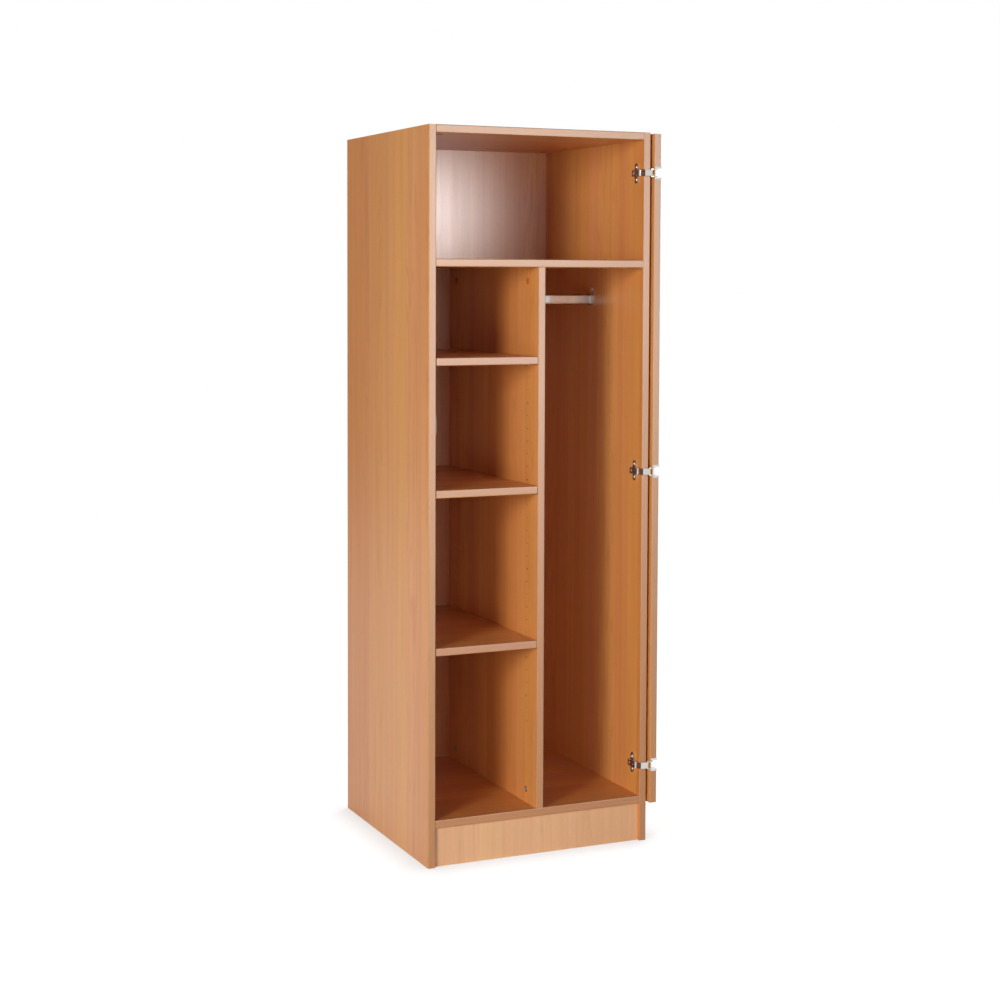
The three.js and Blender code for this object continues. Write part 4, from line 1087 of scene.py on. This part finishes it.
LOCK_SCREW_UP = {"lower": -17.0, "upper": 17.0}
case_end = cabinet_box("lock_case")[1].y
lock_axis = case_end - CASE_WIDTH / 2
lock_place = (DOOR_INSIDE, lock_axis, LOCK_HEIGHT)
door_outside = DOOR_INSIDE - DOOR_THICKNESS

case = drawn(rounded(CASE_WIDTH, CASE_HEIGHT, CASE_CORNER, lock_place[1:]), DOOR_INSIDE,
             DOOR_INSIDE + CASE_DEPTH, "YZX")
barrel = turned(BARREL_PROFILE, lock_place)
core_bore = rod(CORE_BORE, CORE_BORE_START, CORE_BORE_END, lock_place)
bolt_way = drawn(rounded(*BOLT_WAY, (case_end - BOLT_WAY_BEHIND, LOCK_HEIGHT), 2),
                 BOLT_NEAR - BOLT_PLAY, BOLT_FAR + BOLT_PLAY, "YZX")
cones = []
for side, across in LOCK_SCREW_ACROSS.items():
    for end, up in LOCK_SCREW_UP.items():
        place = (DOOR_INSIDE + CASE_DEPTH, lock_axis + across, LOCK_HEIGHT + up)
        cone, screw = countersunk(place, 1)
        cones.append(cone)
        placed(screw, f"lock_screw_{end}_{side}", [nickel_steel], "door")
case = combined(combined(case, [barrel], "UNION"), [core_bore, bolt_way, *cones])
placed(case, "made_lock_case", [nickel_casting], "door", "lock_case", 0, CASE_SOFTNESS)

core_end = DOOR_INSIDE + CORE_PROFILE[-1][1]
key_slot = drawn(rounded(*KEY_SLOT, lock_place[1:], 3), core_end - PAST, core_end + KEY_SLOT_DEPTH,
                 "YZX")
placed(combined(turned(CORE_PROFILE, lock_place), [key_slot]), "made_lock_core", [satin_nickel],
       "lock_core", "lock_core")
bolt = drawn(rounded(*BOLT, (case_end - BOLT_BEHIND, LOCK_HEIGHT), 3), BOLT_NEAR, BOLT_FAR, "YZX")
placed(bolt, "made_lock_bolt", [zinc_steel], "lock_bolt", "lock_bolt", 0, BOLT_SOFTNESS)
print("lock axis:", round(lock_axis, 1), "mm from the carcass front")

# %% [markdown]
# The strike plate is stamped from zinc-plated strip and lies on the side panel's inner face. Its
# opening is over the mortise in the board, and two countersunk screws hold it.

# %% Strike plate
STRIKE, STRIKE_SOFTNESS, STRIKE_SCREW_UP = (16.0, 44.0, 2.0), 0.2, {"lower": -16.0, "upper": 16.0}
OPENING, OPENING_DEPTH, OPENING_NEAR, OPENING_FAR = (7.2, 17.2, 0.6), 7.5, 18.0, 22.0

strike_low, strike_high = cabinet_box("strike_plate")
strike_depth = (strike_low.y + strike_high.y) / 2
strike = drawn(rounded(*STRIKE, (strike_depth, LOCK_HEIGHT)), strike_low.x, strike_high.x, "YZX")
opening = drawn(rounded(*OPENING, (OPENING_DEPTH, LOCK_HEIGHT), 3), OPENING_NEAR, OPENING_FAR,
                "YZX")
cones = []
for end, up in STRIKE_SCREW_UP.items():
    cone, screw = countersunk((strike_high.x, strike_depth, LOCK_HEIGHT + up), 1)
    cones.append(cone)
    placed(screw, f"strike_screw_{end}", [nickel_steel], "cabinet")
placed(combined(strike, [opening, *cones]), "made_strike_plate", [zinc_steel], "cabinet",
       "strike_plate", 0, STRIKE_SOFTNESS)
print("strike plate:", round(strike_depth, 1), "mm from the carcass front")

# %% [markdown]
# The handle is pressed from one sheet. One slot-shaped outline, drawn in a little each time, gives
# the lip, the tray and the hollow, so the walls are equally thick all round.

# %% Handle
HANDLE_WIDTH, HANDLE_LENGTH, LIP, LIP_THICKNESS, HANDLE_SOFTNESS = 40.0, 120.0, 3.0, 1.3, 0.5
TRAY_WALL, TRAY_DEPTH, TRAY_IN_LIP, HOLLOW_PAST = 1.4, 12.5, 0.5, 5.0
handle_middle = middle("door_handle")
handle_centre = (handle_middle.y, handle_middle.z)


def handle_outline(inset):
    """The handle's slot-shaped outline, drawn in by an inset."""
    width, length = HANDLE_WIDTH - 2 * inset, HANDLE_LENGTH - 2 * inset
    return rounded(width, length, width / 2, handle_centre, 16)


lip = drawn(handle_outline(0), door_outside - LIP_THICKNESS, door_outside, "YZX")
tray = drawn(handle_outline(LIP), door_outside - TRAY_IN_LIP, door_outside + TRAY_DEPTH, "YZX")
hollow = drawn(handle_outline(LIP + TRAY_WALL), door_outside - HOLLOW_PAST,
               door_outside + TRAY_DEPTH - TRAY_WALL, "YZX")
handle = combined(combined(lip, [tray], "UNION"), [hollow])
placed(handle, "made_door_handle", [satin_nickel], "door", "door_handle", 0,
       HANDLE_SOFTNESS)
print("handle height:", round(handle_centre[1]), "mm")
